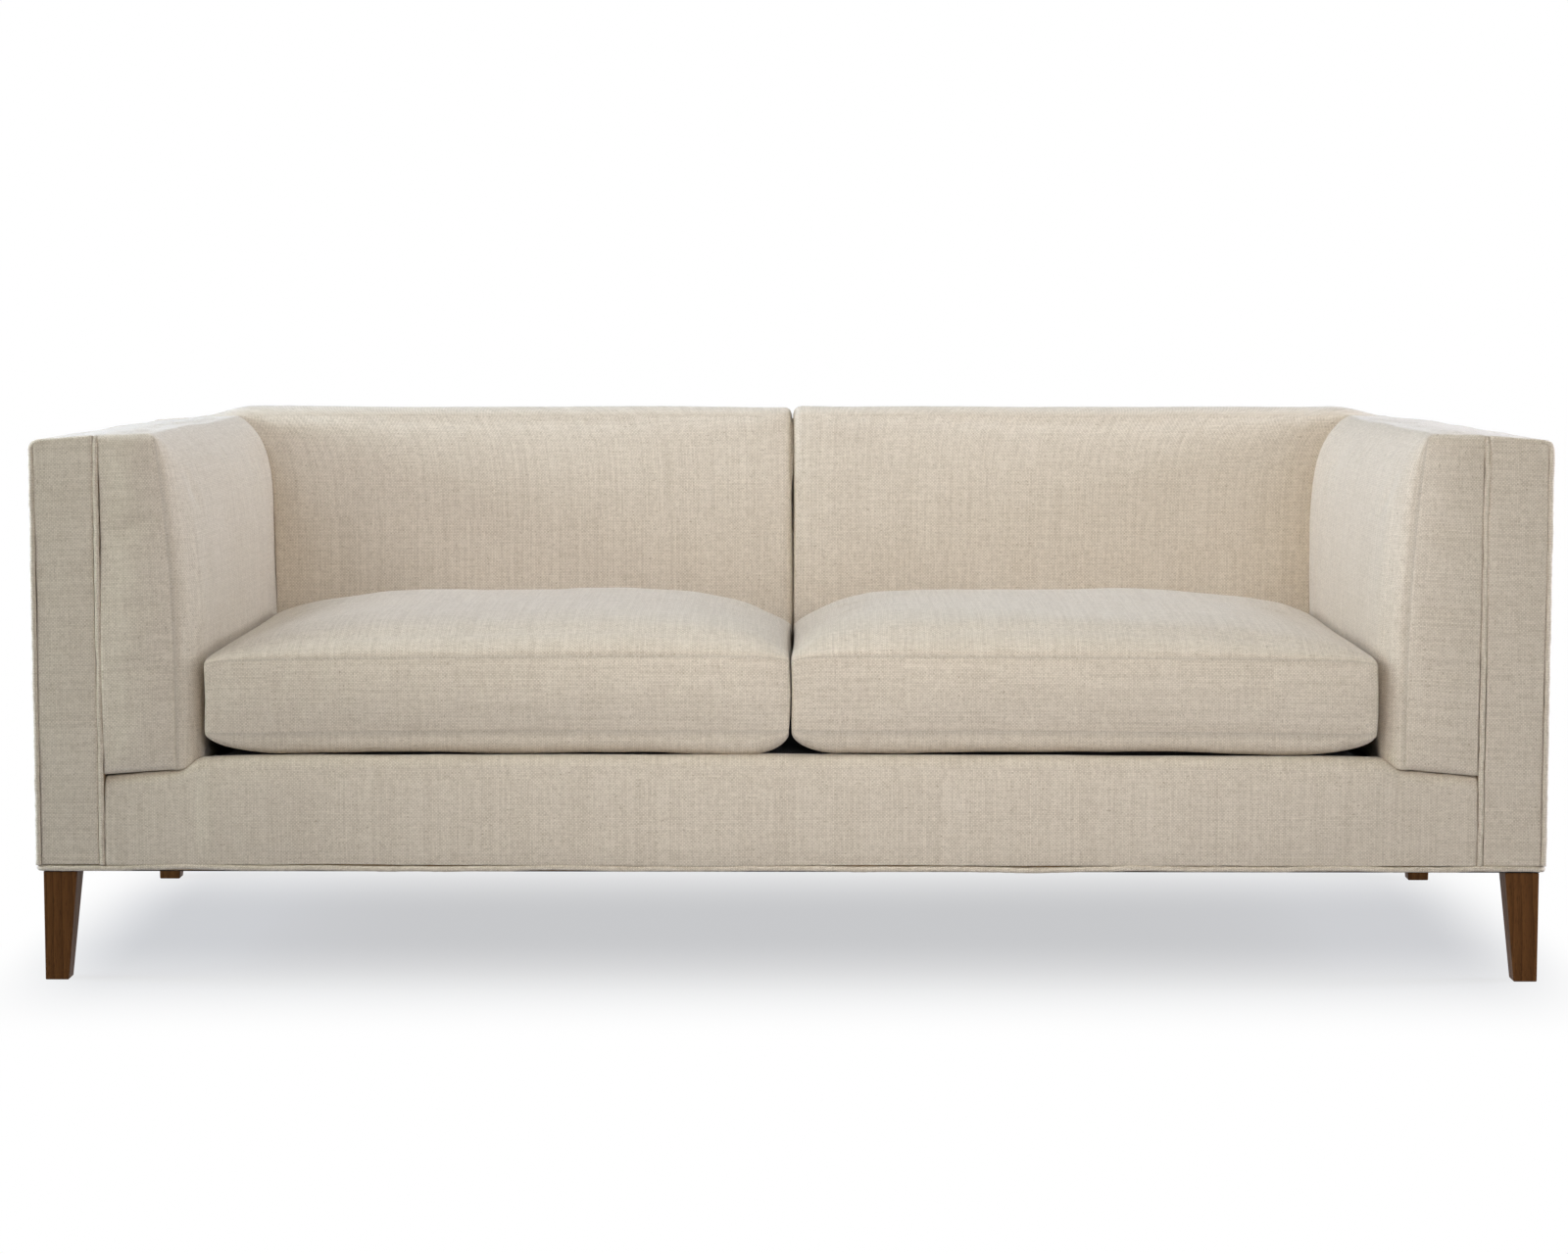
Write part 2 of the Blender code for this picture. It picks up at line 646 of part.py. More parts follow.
def back_section(x, inset):
    """The pad's YZ outline at one distance from the middle of the sofa."""
    bottom = DECK_TOP + CLEARANCE
    shoulder = BACK_TOP - BACK_SHOULDER
    drop = BACK_END_DROP * eased((x - PAD_SIDE + BACK_END_RUN) / BACK_END_RUN)
    top = BACK_TOP - drop - inset
    ridge = HALF_DEPTH - BACK_RIDGE_DEPTH
    bulge = BACK_CROWN * (1.0 - (2.0 * x / PAD_SIDE - 1.0) ** 2)
    lean = BACK_SEAT_DEPTH - BACK_TOP_DEPTH
    points = []
    for height in (0.0, 0.12, 0.25, 0.4, 0.55, 0.7, 0.85):
        y = BACK_FRONT + lean * height - bulge * math.sin(math.pi * height) + inset
        points.append((y, bottom + height * (shoulder - bottom)))
    front = BACK_FRONT + lean + inset
    points += quarter_ellipse((ridge, shoulder), ridge - front, top - shoulder, 180, 90, 5)
    hem = ARM_HEIGHT - WELT_PROUD
    points += quarter_ellipse((ridge, hem), FRAME_BACK - ridge, top - hem, 90, 0, 5)[1:]
    points += [(FRAME_BACK, FRAME_TOP + CLEARANCE), (PAD_REAR, FRAME_TOP + CLEARANCE), (PAD_REAR, bottom)]
    return points


def back_pad_mesh(name, side):
    middle = BACK_SPLIT / 2
    wide = PAD_SIDE - middle
    stations = [(middle, BACK_EDGE), (middle + 0.3 * BACK_EDGE, 0.3 * BACK_EDGE), (middle + BACK_EDGE, 0.0)]
    stations += [(middle + share * wide, 0.0) for share in (0.15, 0.3, 0.45, 0.6, 0.75)]
    stations += [(PAD_SIDE - share * BACK_END_RUN, 0.0) for share in (1.0, 0.75, 0.5, 0.25, 0.0)]
    rings = []
    for x, inset in stations:
        rings.append([(side * x, y, z) for y, z in back_section(x, inset)])
    return loft_mesh(name, rings)


for (side_name, side), arm_tool in zip(SIDES, arm_tools):
    pad_name = f"{side_name}_back_pad"
    back_pad = add_piece(pad_name, back_pad_mesh(pad_name, side), "linen")
    combine(back_pad, arm_tool)

# Seat deck: a firm pad arched over the springs, with black decking cloth over it
arch_clearance = SPRING_WIRE / 2 + CLEARANCE
deck_front = FRONT_RAIL_BACK + CLEARANCE
deck_rear = BACK_RAIL_FRONT - CLEARANCE
deck_profile = [(deck_rear, SEAT_PAD_TOP), (deck_front, SEAT_PAD_TOP)]
ARCH_STEPS = 12
for step in range(ARCH_STEPS + 1):
    arch_y = deck_front + (deck_rear - deck_front) * step / ARCH_STEPS
    deck_profile.append((arch_y, SEAT_PAD_BOTTOM + spring_height(arch_y) + arch_clearance))
deck_pad = made_mesh(side_outline("seat_deck_pad", deck_profile, -PAD_SIDE, PAD_SIDE, "foam"))
deck_cloth = board(
    "seat_deck_cloth",
    (-PAD_SIDE, deck_front, DECK_TOP - CLOTH_THICKNESS),
    (PAD_SIDE, PAD_REAR, DECK_TOP),
    "black_cloth",
)

# Front border: a padded panel down the front rail, with a firm roll along its top edge
border_profile = [(FRONT_FACE, PANEL_BOTTOM), (FRAME_FRONT - CLEARANCE, PANEL_BOTTOM)]
border_profile += [(FRAME_FRONT - CLEARANCE, SEAT_PAD_BOTTOM), (FRONT_RAIL_BACK, SEAT_PAD_BOTTOM)]
border_profile += [(FRONT_RAIL_BACK, DECK_TOP)]
roll_centre = (FRONT_FACE + EDGE_ROLL_RADIUS, DECK_TOP - EDGE_ROLL_RADIUS)
border_profile += arc(roll_centre, EDGE_ROLL_RADIUS, 90, 180, 6)
border = made_mesh(side_outline("front_border", border_profile, -PAD_SIDE, PAD_SIDE, "linen"))
for arm_tool in arm_tools:
    for cut_piece in (deck_pad, deck_cloth, border):
        combine(cut_piece, arm_tool)


# Outside panels: one wraps each arm's side and top, one closes the back, one faces each arm's front


def arm_wrap_profile(side):
    """A thin wall up the outside of the arm and over its top, rounded at the outer edge."""
    corner = (SIDE_FACE - CORNER_RADIUS, ARM_HEIGHT - CORNER_RADIUS)
    points = [(FRAME_SIDE + CLEARANCE, PANEL_BOTTOM), (SIDE_FACE, PANEL_BOTTOM)]
    points += arc(corner, CORNER_RADIUS, 0, 90, 5)
    points += [(ARM_INNER, ARM_HEIGHT), (ARM_INNER, FRAME_TOP + CLEARANCE)]
    points += [(FRAME_SIDE + CLEARANCE, FRAME_TOP + CLEARANCE)]
    return [(side * x, z) for x, z in points]


def facing_profile(side):
    """The flat front of the arm, between its welts, with the outer welt turning over its top corner."""
    inner = ARM_INNER + WELT_DIAMETER + CLEARANCE
    outer = HALF_WIDTH - WELT_DIAMETER - CLEARANCE
    corner = (HALF_WIDTH - CORNER_RADIUS, ARM_HEIGHT - CORNER_RADIUS)
    points = [(inner, PANEL_BOTTOM), (outer, PANEL_BOTTOM)]
    points += arc(corner, CORNER_RADIUS - WELT_DIAMETER - CLEARANCE, 0, 90, 3)
    step = corner[0] - WELT_TAIL - CLEARANCE
    points += [(step, points[-1][1]), (step, ARM_HEIGHT), (inner, ARM_HEIGHT)]
    return [(side * x, z) for x, z in points]


for side_name, side in SIDES:
    front_outline(f"{side_name}_outside_arm", arm_wrap_profile(side), FRAME_FRONT, FRAME_BACK, "linen")
    facing_back = FRONT_FACE + PANEL_THICKNESS
    front_outline(f"{side_name}_arm_facing", facing_profile(side), FRONT_FACE, facing_back, "linen")

back_profile = [(-SIDE_FACE, PANEL_BOTTOM), (SIDE_FACE, PANEL_BOTTOM)]
back_corner = (SIDE_FACE - CORNER_RADIUS, ARM_HEIGHT - CORNER_RADIUS)
back_profile += arc(back_corner, CORNER_RADIUS, 0, 90, 5)
back_profile += arc((-back_corner[0], back_corner[1]), CORNER_RADIUS, 90, 180, 5)
front_outline("outside_back", back_profile, FRAME_BACK + CLEARANCE, BACK_FACE, "linen")

# Welts: corded edging up both edges of each arm facing, and right round the base
welt_front = -HALF_DEPTH + WELT_RADIUS
for side_name, side in SIDES:
    outer_x = HALF_WIDTH - WELT_RADIUS
    turn = (HALF_WIDTH - CORNER_RADIUS, ARM_HEIGHT - CORNER_RADIUS)
    route = [(outer_x, PANEL_BOTTOM)] + arc(turn, CORNER_RADIUS - WELT_RADIUS, 0, 90, 5)
    route.append((turn[0] - WELT_TAIL, ARM_HEIGHT - WELT_RADIUS))
    welt_name = f"{side_name}_outer_welt"
    welt_points = [(side * x, welt_front, z) for x, z in route]
    add_piece(welt_name, tube_curve(welt_name, welt_points, WELT_DIAMETER), "linen")
    inner_x = side * (ARM_INNER + WELT_RADIUS)
    welt_name = f"{side_name}_inner_welt"
    welt_points = [(inner_x, welt_front, PANEL_BOTTOM), (inner_x, welt_front, ARM_HEIGHT)]
    add_piece(welt_name, tube_curve(welt_name, welt_points, WELT_DIAMETER), "linen")

base_turn = WELT_RADIUS + 2 * CLEARANCE
base_x = HALF_WIDTH - WELT_RADIUS - base_turn
base_y = HALF_DEPTH - WELT_RADIUS - base_turn
base_route = arc((base_x, base_y), base_turn, 0, 90, 4)
base_route += arc((-base_x, base_y), base_turn, 90, 180, 4)
base_route += arc((-base_x, -base_y), base_turn, 180, 270, 4)
base_route += arc((base_x, -base_y), base_turn, 270, 360, 4)
base_points = [(x, y, FRAME_BOTTOM + WELT_RADIUS) for x, y in base_route]
add_piece("base_welt", tube_curve("base_welt", base_points, WELT_DIAMETER, closed=True), "linen")


# Seat cushions: a zipped cover over a foam core, lifting straight off the deck


def cushion_point(u, v, w, inset):
    """Moves a point of a cube from -1 to 1 on to the cushion; inset draws the whole skin inwards."""
    half_x = CUSHION_WIDTH / 2 - inset
    half_y = CUSHION_DEPTH / 2 - inset
    on_side = abs(u) > 0.999
    on_end = abs(v) > 0.999
    swell = CUSHION_SWELL * (1.0 - w * w)
    x = u * (half_x - CUSHION_PULL * (1.0 - v * v))
    y = v * (half_y - (CUSHION_PULL * (1.0 - u * u) if v < 0 else 0.0))
    if on_side:
        x += math.copysign(swell * (1.0 - v * v), u)
    if on_end and v < 0:
        y -= swell * (1.0 - u * u)
    if on_side and on_end:
        x -= math.copysign(CUSHION_CORNER, u)
        y -= math.copysign(CUSHION_CORNER, v)
    if on_side and abs(w) > 0.999:
        x -= math.copysign(CUSHION_SEAM_DRAW, u)
    if on_end and abs(w) > 0.999:
        y -= math.copysign(CUSHION_SEAM_DRAW, v)
    near_corner = (u * v) ** 8
    lower = CUSHION_LOWER_SEAM + inset
    upper = CUSHION_LOWER_SEAM + CUSHION_BOXING - CUSHION_CORNER_DIP * near_corner - inset
    from_side = (1.0 - abs(u)) * half_x
    from_end = (1.0 - abs(v)) * half_y
    if w > 0.999:
        crown = rounded(from_side, CUSHION_CROWN_RUN) * rounded(from_end, CUSHION_CROWN_RUN)
        return x, y, upper + CUSHION_CROWN * crown
    if w < -0.999:
        belly = rounded(from_side, CUSHION_LOWER_RUN) * rounded(from_end, CUSHION_LOWER_RUN)
        return x, y, lower - CUSHION_LOWER_SEAM * belly
    return x, y, lower + (upper - lower) * (w + 1.0) / 2.0


def grid_cuts(half):
    """Where the cushion's faces are divided: close together at the rounded edges, wide in the middle."""
    near = [1.0 - share * CUSHION_LOWER_RUN / half for share in (0.3, 1.0)]
    return [-near[0], -near[1], -0.55, 0.0, 0.55, near[1], near[0]]


def cushion_mesh(name, side, inset):
    seam = 1.0 - 2.0 * CUSHION_SEAM_RUN / CUSHION_BOXING
    shape = bmesh.new()
    bmesh.ops.create_cube(shape, size=2.0)
    cuts = {
        (1, 0, 0): grid_cuts(CUSHION_WIDTH / 2),
        (0, 1, 0): grid_cuts(CUSHION_DEPTH / 2),
        (0, 0, 1): [-seam, -0.4, 0.4, seam],
    }
    for normal, levels in cuts.items():
        for level in levels:
            everything = shape.verts[:] + shape.edges[:] + shape.faces[:]
            point = [level * along for along in normal]
            bmesh.ops.bisect_plane(shape, geom=everything, plane_co=point, plane_no=normal)
    bmesh.ops.triangulate(shape, faces=shape.faces[:], quad_method="FIXED")
    for vert in shape.verts:
        x, y, z = cushion_point(*vert.co, inset)
        vert.co = (side * x, y, z)
    return mesh_from(shape, name, smooth=True)


def slider_profile():
    """A zip slider with its hanging pull, as an XZ outline about the zip's start."""
    half = SLIDER_LENGTH / 2
    top = ZIP_HEIGHT / 2
    pull = half * 0.55
    shape = [(-half, -top), (-pull, -top - half), (-pull, -SLIDER_DROP + pull)]
    shape += arc((0.0, -SLIDER_DROP + pull), pull, 180, 360, 4)[1:]
    return shape + [(pull, -top - half), (half, -top), (half, top), (-half, top)]


for side_name, side in SIDES:
    cushion_x = side * (CUSHION_INNER + CUSHION_OUTER) / 2
    cushion_y = (CUSHION_FRONT + CUSHION_REAR) / 2
    lift = add_axis(f"{side_name}_cushion_lift", (cushion_x, cushion_y, DECK_TOP + CLEARANCE))
    rear = CUSHION_DEPTH / 2
    cover_name = f"{side_name}_cushion_cover"
    core_name = f"{side_name}_cushion_core"
    zip_name = f"{side_name}_cushion_zip"
    slot_size = (ZIP_LENGTH, 4 * CLOTH_THICKNESS, ZIP_HEIGHT)
    zip_size = (ZIP_LENGTH - 2 * CLEARANCE, CLOTH_THICKNESS, ZIP_HEIGHT - 2 * CLEARANCE)
    cover = add_piece(cover_name, cushion_mesh(cover_name, side, 0.0), "linen", parent=lift)
    hollow_mesh = cushion_mesh("hollow", side, CLOTH_THICKNESS)
    hollow = add_cutter(f"{cover_name}_hollow", hollow_mesh, parent=lift)
    slot = add_cutter(f"{cover_name}_slot", box_mesh("slot", slot_size), (0, rear, ZIP_LEVEL), lift)
    combine(cover, hollow)
    combine(cover, slot)
    core_mesh = cushion_mesh(core_name, side, CLOTH_THICKNESS + CLEARANCE)
    add_piece(core_name, core_mesh, "foam", parent=lift)
    zip_place = (0, rear - CLOTH_THICKNESS / 2, ZIP_LEVEL)
    add_piece(zip_name, box_mesh(zip_name, zip_size), "linen", zip_place, lift)
    zip_start = (side * (ZIP_LENGTH / 2 - SLIDER_LENGTH), rear + CLEARANCE, ZIP_LEVEL)
    run = add_axis(f"{side_name}_zip_run", zip_start, lift)
    front_outline(f"{side_name}_zip_slider", slider_profile(), 0.0, SLIDER_THICKNESS, "zinc_steel", run)

bpy.context.view_layer.update()
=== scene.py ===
"""Looks of an even-arm sofa: oatmeal linen over a hardwood frame, on tapered walnut legs."""

import json
import math

import bmesh
import bpy
import numpy as np
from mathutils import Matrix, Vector

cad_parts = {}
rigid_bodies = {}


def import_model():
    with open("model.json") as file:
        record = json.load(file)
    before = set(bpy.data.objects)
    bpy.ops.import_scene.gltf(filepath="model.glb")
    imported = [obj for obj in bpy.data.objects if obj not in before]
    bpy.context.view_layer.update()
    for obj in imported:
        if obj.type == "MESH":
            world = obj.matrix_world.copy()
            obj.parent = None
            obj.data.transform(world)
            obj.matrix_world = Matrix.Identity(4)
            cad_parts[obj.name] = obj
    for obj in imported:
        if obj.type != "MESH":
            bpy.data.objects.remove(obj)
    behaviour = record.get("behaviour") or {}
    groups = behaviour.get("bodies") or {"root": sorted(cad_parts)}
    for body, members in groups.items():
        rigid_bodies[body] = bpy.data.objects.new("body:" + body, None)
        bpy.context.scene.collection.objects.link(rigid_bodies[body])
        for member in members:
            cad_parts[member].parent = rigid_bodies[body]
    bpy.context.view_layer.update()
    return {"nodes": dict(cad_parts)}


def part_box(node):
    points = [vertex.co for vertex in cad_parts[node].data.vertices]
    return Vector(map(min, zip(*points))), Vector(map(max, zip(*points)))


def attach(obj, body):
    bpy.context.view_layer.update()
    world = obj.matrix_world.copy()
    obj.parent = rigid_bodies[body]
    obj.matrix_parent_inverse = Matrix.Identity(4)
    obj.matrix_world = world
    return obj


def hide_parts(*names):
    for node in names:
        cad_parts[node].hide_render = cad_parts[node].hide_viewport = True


for stale in list(bpy.data.objects):
    bpy.data.objects.remove(stale, do_unlink=True)

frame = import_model()
cad_nodes = frame["nodes"]
SIDES = (("left", -1), ("right", 1))
ENDS = ("front", "rear")


# Legs: four square tapered legs of solid walnut, sawn with the grain upright, stained and satin lacquered.
# Each is screwed up against the frame by a hanger bolt, outer faces plumb and inner faces tapering.


def put(tree, kind, values, **settings):
    """Adds a node and fills its inputs, by name or number, with constants or other nodes' outputs."""
    made = tree.nodes.new(kind)
    for key, setting in settings.items():
        setattr(made, key, setting)
    for key, value in values.items():
        if isinstance(value, bpy.types.NodeSocket):
            tree.links.new(value, made.inputs[key])
        else:
            made.inputs[key].default_value = value
    return made


def work_out(tree, operation, *values):
    """One step of arithmetic on numbers or other nodes' outputs."""
    return put(tree, "ShaderNodeMath", dict(enumerate(values)), operation=operation).outputs[0]


def stretched(tree, vector, amounts):
    """A vector stretched along its three axes."""
    values = {0: vector, 1: amounts}
    return put(tree, "ShaderNodeVectorMath", values, operation="MULTIPLY").outputs[0]


def cloudy(tree, vector, scale, detail):
    """Smooth noise over a vector."""
    values = {"Vector": vector, "Scale": scale, "Detail": detail}
    return put(tree, "ShaderNodeTexNoise", values).outputs[0]


def ramped(tree, value, low, high, bottom=0.0, top=1.0):
    """A value carried from one range to another, held at both ends."""
    values = {0: value, 1: low, 2: high, 3: bottom, 4: top}
    return put(tree, "ShaderNodeMapRange", values).outputs[0]


def between(tree, share, first, second):
    """A colour between two colours."""
    values = {0: share, 6: first, 7: second}
    return put(tree, "ShaderNodeMix", values, data_type="RGBA").outputs[2]


def new_group(name, sizes, outputs):
    """An empty shader node group that takes a vector and sizes; returns it with its sockets."""
    group = bpy.data.node_groups.new(name, "ShaderNodeTree")
    group.interface.new_socket("Vector", in_out="INPUT", socket_type="NodeSocketVector")
    for label in sizes:
        group.interface.new_socket(label, in_out="INPUT", socket_type="NodeSocketFloat")
    for label in outputs:
        group.interface.new_socket(label, in_out="OUTPUT", socket_type="NodeSocketFloat")
    given = group.nodes.new("NodeGroupInput").outputs
    result = group.nodes.new("NodeGroupOutput").inputs
    return group, given, result


def new_material(name):
    """A material made with nodes; returns it with its node tree and its shader."""
    material = bpy.data.materials.new(name)
    material.use_nodes = True
    tree = material.node_tree
    return material, tree, tree.nodes["Principled BSDF"]


def join(tree, output, shader, socket):
    """Joins an output to one of a shader's inputs."""
    tree.links.new(output, shader.inputs[socket])


def object_place(tree):
    """A place in a piece's own coordinates."""
    return put(tree, "ShaderNodeTexCoord", {}).outputs["Object"]


def roughened(tree, shader, height, strength, distance):
    """Puts a bump on a shader."""
    values = {"Height": height, "Strength": strength, "Distance": distance}
    join(tree, put(tree, "ShaderNodeBump", values).outputs[0], shader, "Normal")


GRAIN_SLANT = 0.55
RING_WANDER = 0.035
RING_POWER = 1.6
PORE_FINENESS = 1.4


def make_grain_group():
    """Growth rings and fibres of wood, running along Z of the vector that comes in."""
    sizes = ["Ring Spacing", "Fibre Width"]
    group, given, result = new_group("wood_grain", sizes, ["Rings", "Fibres", "Pores"])
    wander = cloudy(group, stretched(group, given["Vector"], (1.0, 1.0, 0.12)), 22.0, 3.0)
    parts = put(group, "ShaderNodeSeparateXYZ", {0: given["Vector"]}).outputs
    depth = work_out(group, "ADD", parts[0], work_out(group, "MULTIPLY", parts[1], GRAIN_SLANT))
    depth = work_out(group, "ADD", depth, work_out(group, "MULTIPLY", wander, RING_WANDER))
    turns = work_out(group, "DIVIDE", depth, given["Ring Spacing"])
    saw = work_out(group, "FRACT", turns)
    group.links.new(work_out(group, "POWER", saw, RING_POWER), result["Rings"])
    fineness = work_out(group, "DIVIDE", 1.0, given["Fibre Width"])
    along = stretched(group, given["Vector"], (1.0, 1.0, 0.03))
    fibres = cloudy(group, along, fineness, 3.0)
    group.links.new(ramped(group, fibres, 0.3, 0.7), result["Fibres"])
    short = stretched(group, given["Vector"], (1.0, 1.0, 0.07))
    pores = cloudy(group, short, work_out(group, "MULTIPLY", fineness, PORE_FINENESS), 1.0)
    group.links.new(ramped(group, pores, 0.62, 0.72), result["Pores"])
    return group


WOOD_GRAIN = make_grain_group()
RING_WEIGHT = 0.55
FIBRE_WEIGHT = 0.45
PORE_SHADE = 0.45
PORE_WEIGHT = 0.6
FIBRE_HEIGHT = 0.3


def wood_material(name, order, pale, dark, ring_spacing, fibre_width, roughness):
    """Sawn wood whose grain runs along the last axis that order names."""
    material, tree, shader = new_material(name)
    place = object_place(tree)
    parts = put(tree, "ShaderNodeSeparateXYZ", {0: place}).outputs
    turned = put(tree, "ShaderNodeCombineXYZ", {i: parts["XYZ".index(axis)] for i, axis in enumerate(order)})
    values = {"Vector": turned.outputs[0], "Ring Spacing": ring_spacing, "Fibre Width": fibre_width}
    grain = put(tree, "ShaderNodeGroup", values, node_tree=WOOD_GRAIN).outputs
    tone = work_out(tree, "MULTIPLY", grain["Rings"], RING_WEIGHT)
    tone = work_out(tree, "ADD", tone, work_out(tree, "MULTIPLY", grain["Fibres"], FIBRE_WEIGHT))
    colour = between(tree, tone, (*pale, 1), (*dark, 1))
    pore_colour = tuple(PORE_SHADE * part for part in dark)
    pore_share = work_out(tree, "MULTIPLY", grain["Pores"], PORE_WEIGHT)
    join(tree, between(tree, pore_share, colour, (*pore_colour, 1)), shader, "Base Color")
    join(tree, ramped(tree, tone, 0.0, 1.0, roughness - 0.05, roughness + 0.08), shader, "Roughness")
    shader.inputs["Specular IOR Level"].default_value = 0.08
    raised = work_out(tree, "MULTIPLY", grain["Fibres"], FIBRE_HEIGHT)
    height = work_out(tree, "SUBTRACT", raised, grain["Pores"])
    roughened(tree, shader, height, 0.12, 0.0004)
    return material


def finish_nodes(material, names):
    """Gives CAD pieces that stay as they are their finish."""
    for name in names:
        materials = cad_nodes[name].data.materials
        materials.clear()
        materials.append(material)


WALNUT_PALE = (0.146, 0.060, 0.017)
WALNUT_DARK = (0.058, 0.022, 0.0055)
walnut = wood_material("walnut_satin", "XYZ", WALNUT_PALE, WALNUT_DARK, 0.013, 0.0011, 0.50)
corners = [f"{side_name}_{end}" for side_name, side in SIDES for end in ENDS]
finish_nodes(walnut, [f"{corner}_leg" for corner in corners])


# Hanger bolts: zinc-plated steel rods that stand out of the leg blocks.
# They are screwed into the blocks, and the legs turn on to them.


def metal_material(name, colour, roughness, blotch):
    """Bare or plated steel with faint blotches and a brushed roughness."""
    material, tree, shader = new_material(name)
    place = object_place(tree)
    patches = ramped(tree, cloudy(tree, place, 60.0, 4.0), 0.35, 0.75)
    dull = tuple(blotch * part for part in colour)
    join(tree, between(tree, patches, (*colour, 1), (*dull, 1)), shader, "Base Color")
    scratches = cloudy(tree, stretched(tree, place, (1.0, 1.0, 0.1)), 1800.0, 2.0)
    join(tree, ramped(tree, scratches, 0.3, 0.7, roughness - 0.08, roughness + 0.1), shader, "Roughness")
    shader.inputs["Metallic"].default_value = 1.0
    return material


zinc_steel = metal_material("zinc_plated_steel", (0.60, 0.60, 0.61), 0.34, 0.82)
finish_nodes(zinc_steel, [f"{corner}_leg_bolt" for corner in corners])


# Frame: kiln-dried hardwood boards, sawn square, glued and screwed, with hardboard liners on the arms.
# All of it is covered once the sofa is upholstered.
FRAME_PALE = (0.60, 0.43, 0.26)
FRAME_DARK = (0.40, 0.26, 0.14)


def frame_wood(order):
    """Frame hardwood whose grain runs along the last axis that order names."""
    name = f"frame_wood_{order[-1].lower()}"
    return wood_material(name, order, FRAME_PALE, FRAME_DARK, 0.009, 0.0014, 0.72)


wood_along_x = frame_wood("YZX")
wood_along_y = frame_wood("XZY")
wood_along_z = frame_wood("XYZ")
finish_nodes(wood_along_x, ["front_seat_rail", "rear_seat_rail", "top_back_rail"])
finish_nodes(wood_along_y, ["centre_stretcher"])
finish_nodes(wood_along_z, ["centre_back_post"] + [f"{corner}_leg_block" for corner in corners])
for side_name, side in SIDES:
    finish_nodes(wood_along_x, [f"{side_name}_back_tack_rail"])
    finish_nodes(wood_along_y, [f"{side_name}_side_rail", f"{side_name}_arm_top_rail"])
    finish_nodes(wood_along_z, [f"{side_name}_front_post", f"{side_name}_back_post"])


def board_material(name, pale, dark):
    """Pressed fibreboard: fine matted fibres, no grain."""
    material, tree, shader = new_material(name)
    place = object_place(tree)
    fibres = cloudy(tree, place, 420.0, 5.0)
    tone = ramped(tree, fibres, 0.3, 0.7)
    join(tree, between(tree, tone, (*pale, 1), (*dark, 1)), shader, "Base Color")
    shader.inputs["Roughness"].default_value = 0.85
    roughened(tree, shader, fibres, 0.2, 0.0005)
    return material


fibreboard = board_material("hardboard", (0.40, 0.28, 0.17), (0.27, 0.18, 0.10))
finish_nodes(fibreboard, [f"{side_name}_arm_liner" for side_name, side in SIDES])


# Dust cover: one sheet of black cambric, folded under at its edges and stapled to the frame from below.
# It stays nearly flat, a little slack between the staples.


def rounded(distance, run):
    """Height of a quarter-round edge, from 0 at the edge to 1 past its run."""
    short = np.clip(1.0 - distance / run, 0.0, 1.0)
    return np.sqrt(1.0 - short * short)


def eased(value):
    """A smooth step from 0 to 1."""
    inside = np.clip(value, 0.0, 1.0)
    return inside * inside * (3.0 - 2.0 * inside)


def ripples(points, wavelength, seed, waves=18):
    """Smooth noise of about unit height over points: a sum of plane waves in set random directions."""
    draw = np.random.default_rng(seed)
    ways = draw.normal(size=(3, waves))
    ways *= 2.0 * math.pi / (wavelength * np.linalg.norm(ways, axis=0) * draw.uniform(0.7, 1.4, waves))
    phases = draw.uniform(0.0, 2.0 * math.pi, waves)
    return np.cos(points @ ways + phases).sum(axis=-1) / math.sqrt(waves / 2.0)


# Distances from an edge where a panel is divided more closely, so that the edge can turn smoothly
CLOSE_STATIONS = (0.0, 0.0015, 0.0035, 0.007, 0.012)
CLOSE_END = 0.018


def stations(length, coarse):
    """Shares of a length where it is divided: close together at both ends, evenly between them."""
    count = max(2, round((length - 2.0 * CLOSE_END) / coarse) + 1)
    middle = np.linspace(CLOSE_END, length - CLOSE_END, count)
    edge = np.array(CLOSE_STATIONS)
    return np.concatenate([edge, middle, length - edge[::-1]]) / length


def evenly(length, coarse):
    """Shares of a length where it is divided evenly."""
    return np.linspace(0.0, 1.0, max(2, round(length / coarse) + 1))


def filled(near, far, start, end, along, across):
    """A grid of points spanned between four edges."""
    a = along[:, None, None]
    b = across[None, :, None]
    grid = (1 - b) * near[:, None] + b * far[:, None] + (1 - a) * start[None] + a * end[None]
    grid = grid - (1 - a) * ((1 - b) * near[0] + b * far[0]) - a * ((1 - b) * near[-1] + b * far[-1])
    grid[:, 0], grid[:, -1], grid[0], grid[-1] = near, far, start, end
    return grid


def panel_ways(number, around, along):
    """The stations of one panel both ways: the first four panels are sides, the last two caps."""
    return (around[number % 2], along) if number < 4 else around


def boxed(ring, around, along, caps=(None, None)):
    """Grids of points over a boxed shape: four sides, one after another, and then its two end caps.

    ring(side, share, way) places the sides. A cap is spanned between their edges, and then shaped.
    """
    panels = []
    for number in range(4):
        ways = panel_ways(number, around, along)
        panels.append(ring(number, *np.meshgrid(*ways, indexing="ij")))
    for end, shape in zip((0, -1), caps):
        edges = (panels[0][:, end], panels[2][::-1, end], panels[3][::-1, end], panels[1][:, end])
        cap = filled(*edges, *around)
        if shape:
            cap = shape(cap, *np.meshgrid(*around, indexing="ij"))
        panels.append(cap)
    return panels


def run_along(points, axis):
    """Distances along one way of a grid, from its first edge."""
    steps = np.linalg.norm(np.diff(points, axis=axis), axis=2)
    start = np.zeros_like(np.take(points[..., 0], [0], axis=axis))
    return np.concatenate([start, np.cumsum(steps, axis=axis)], axis=axis)


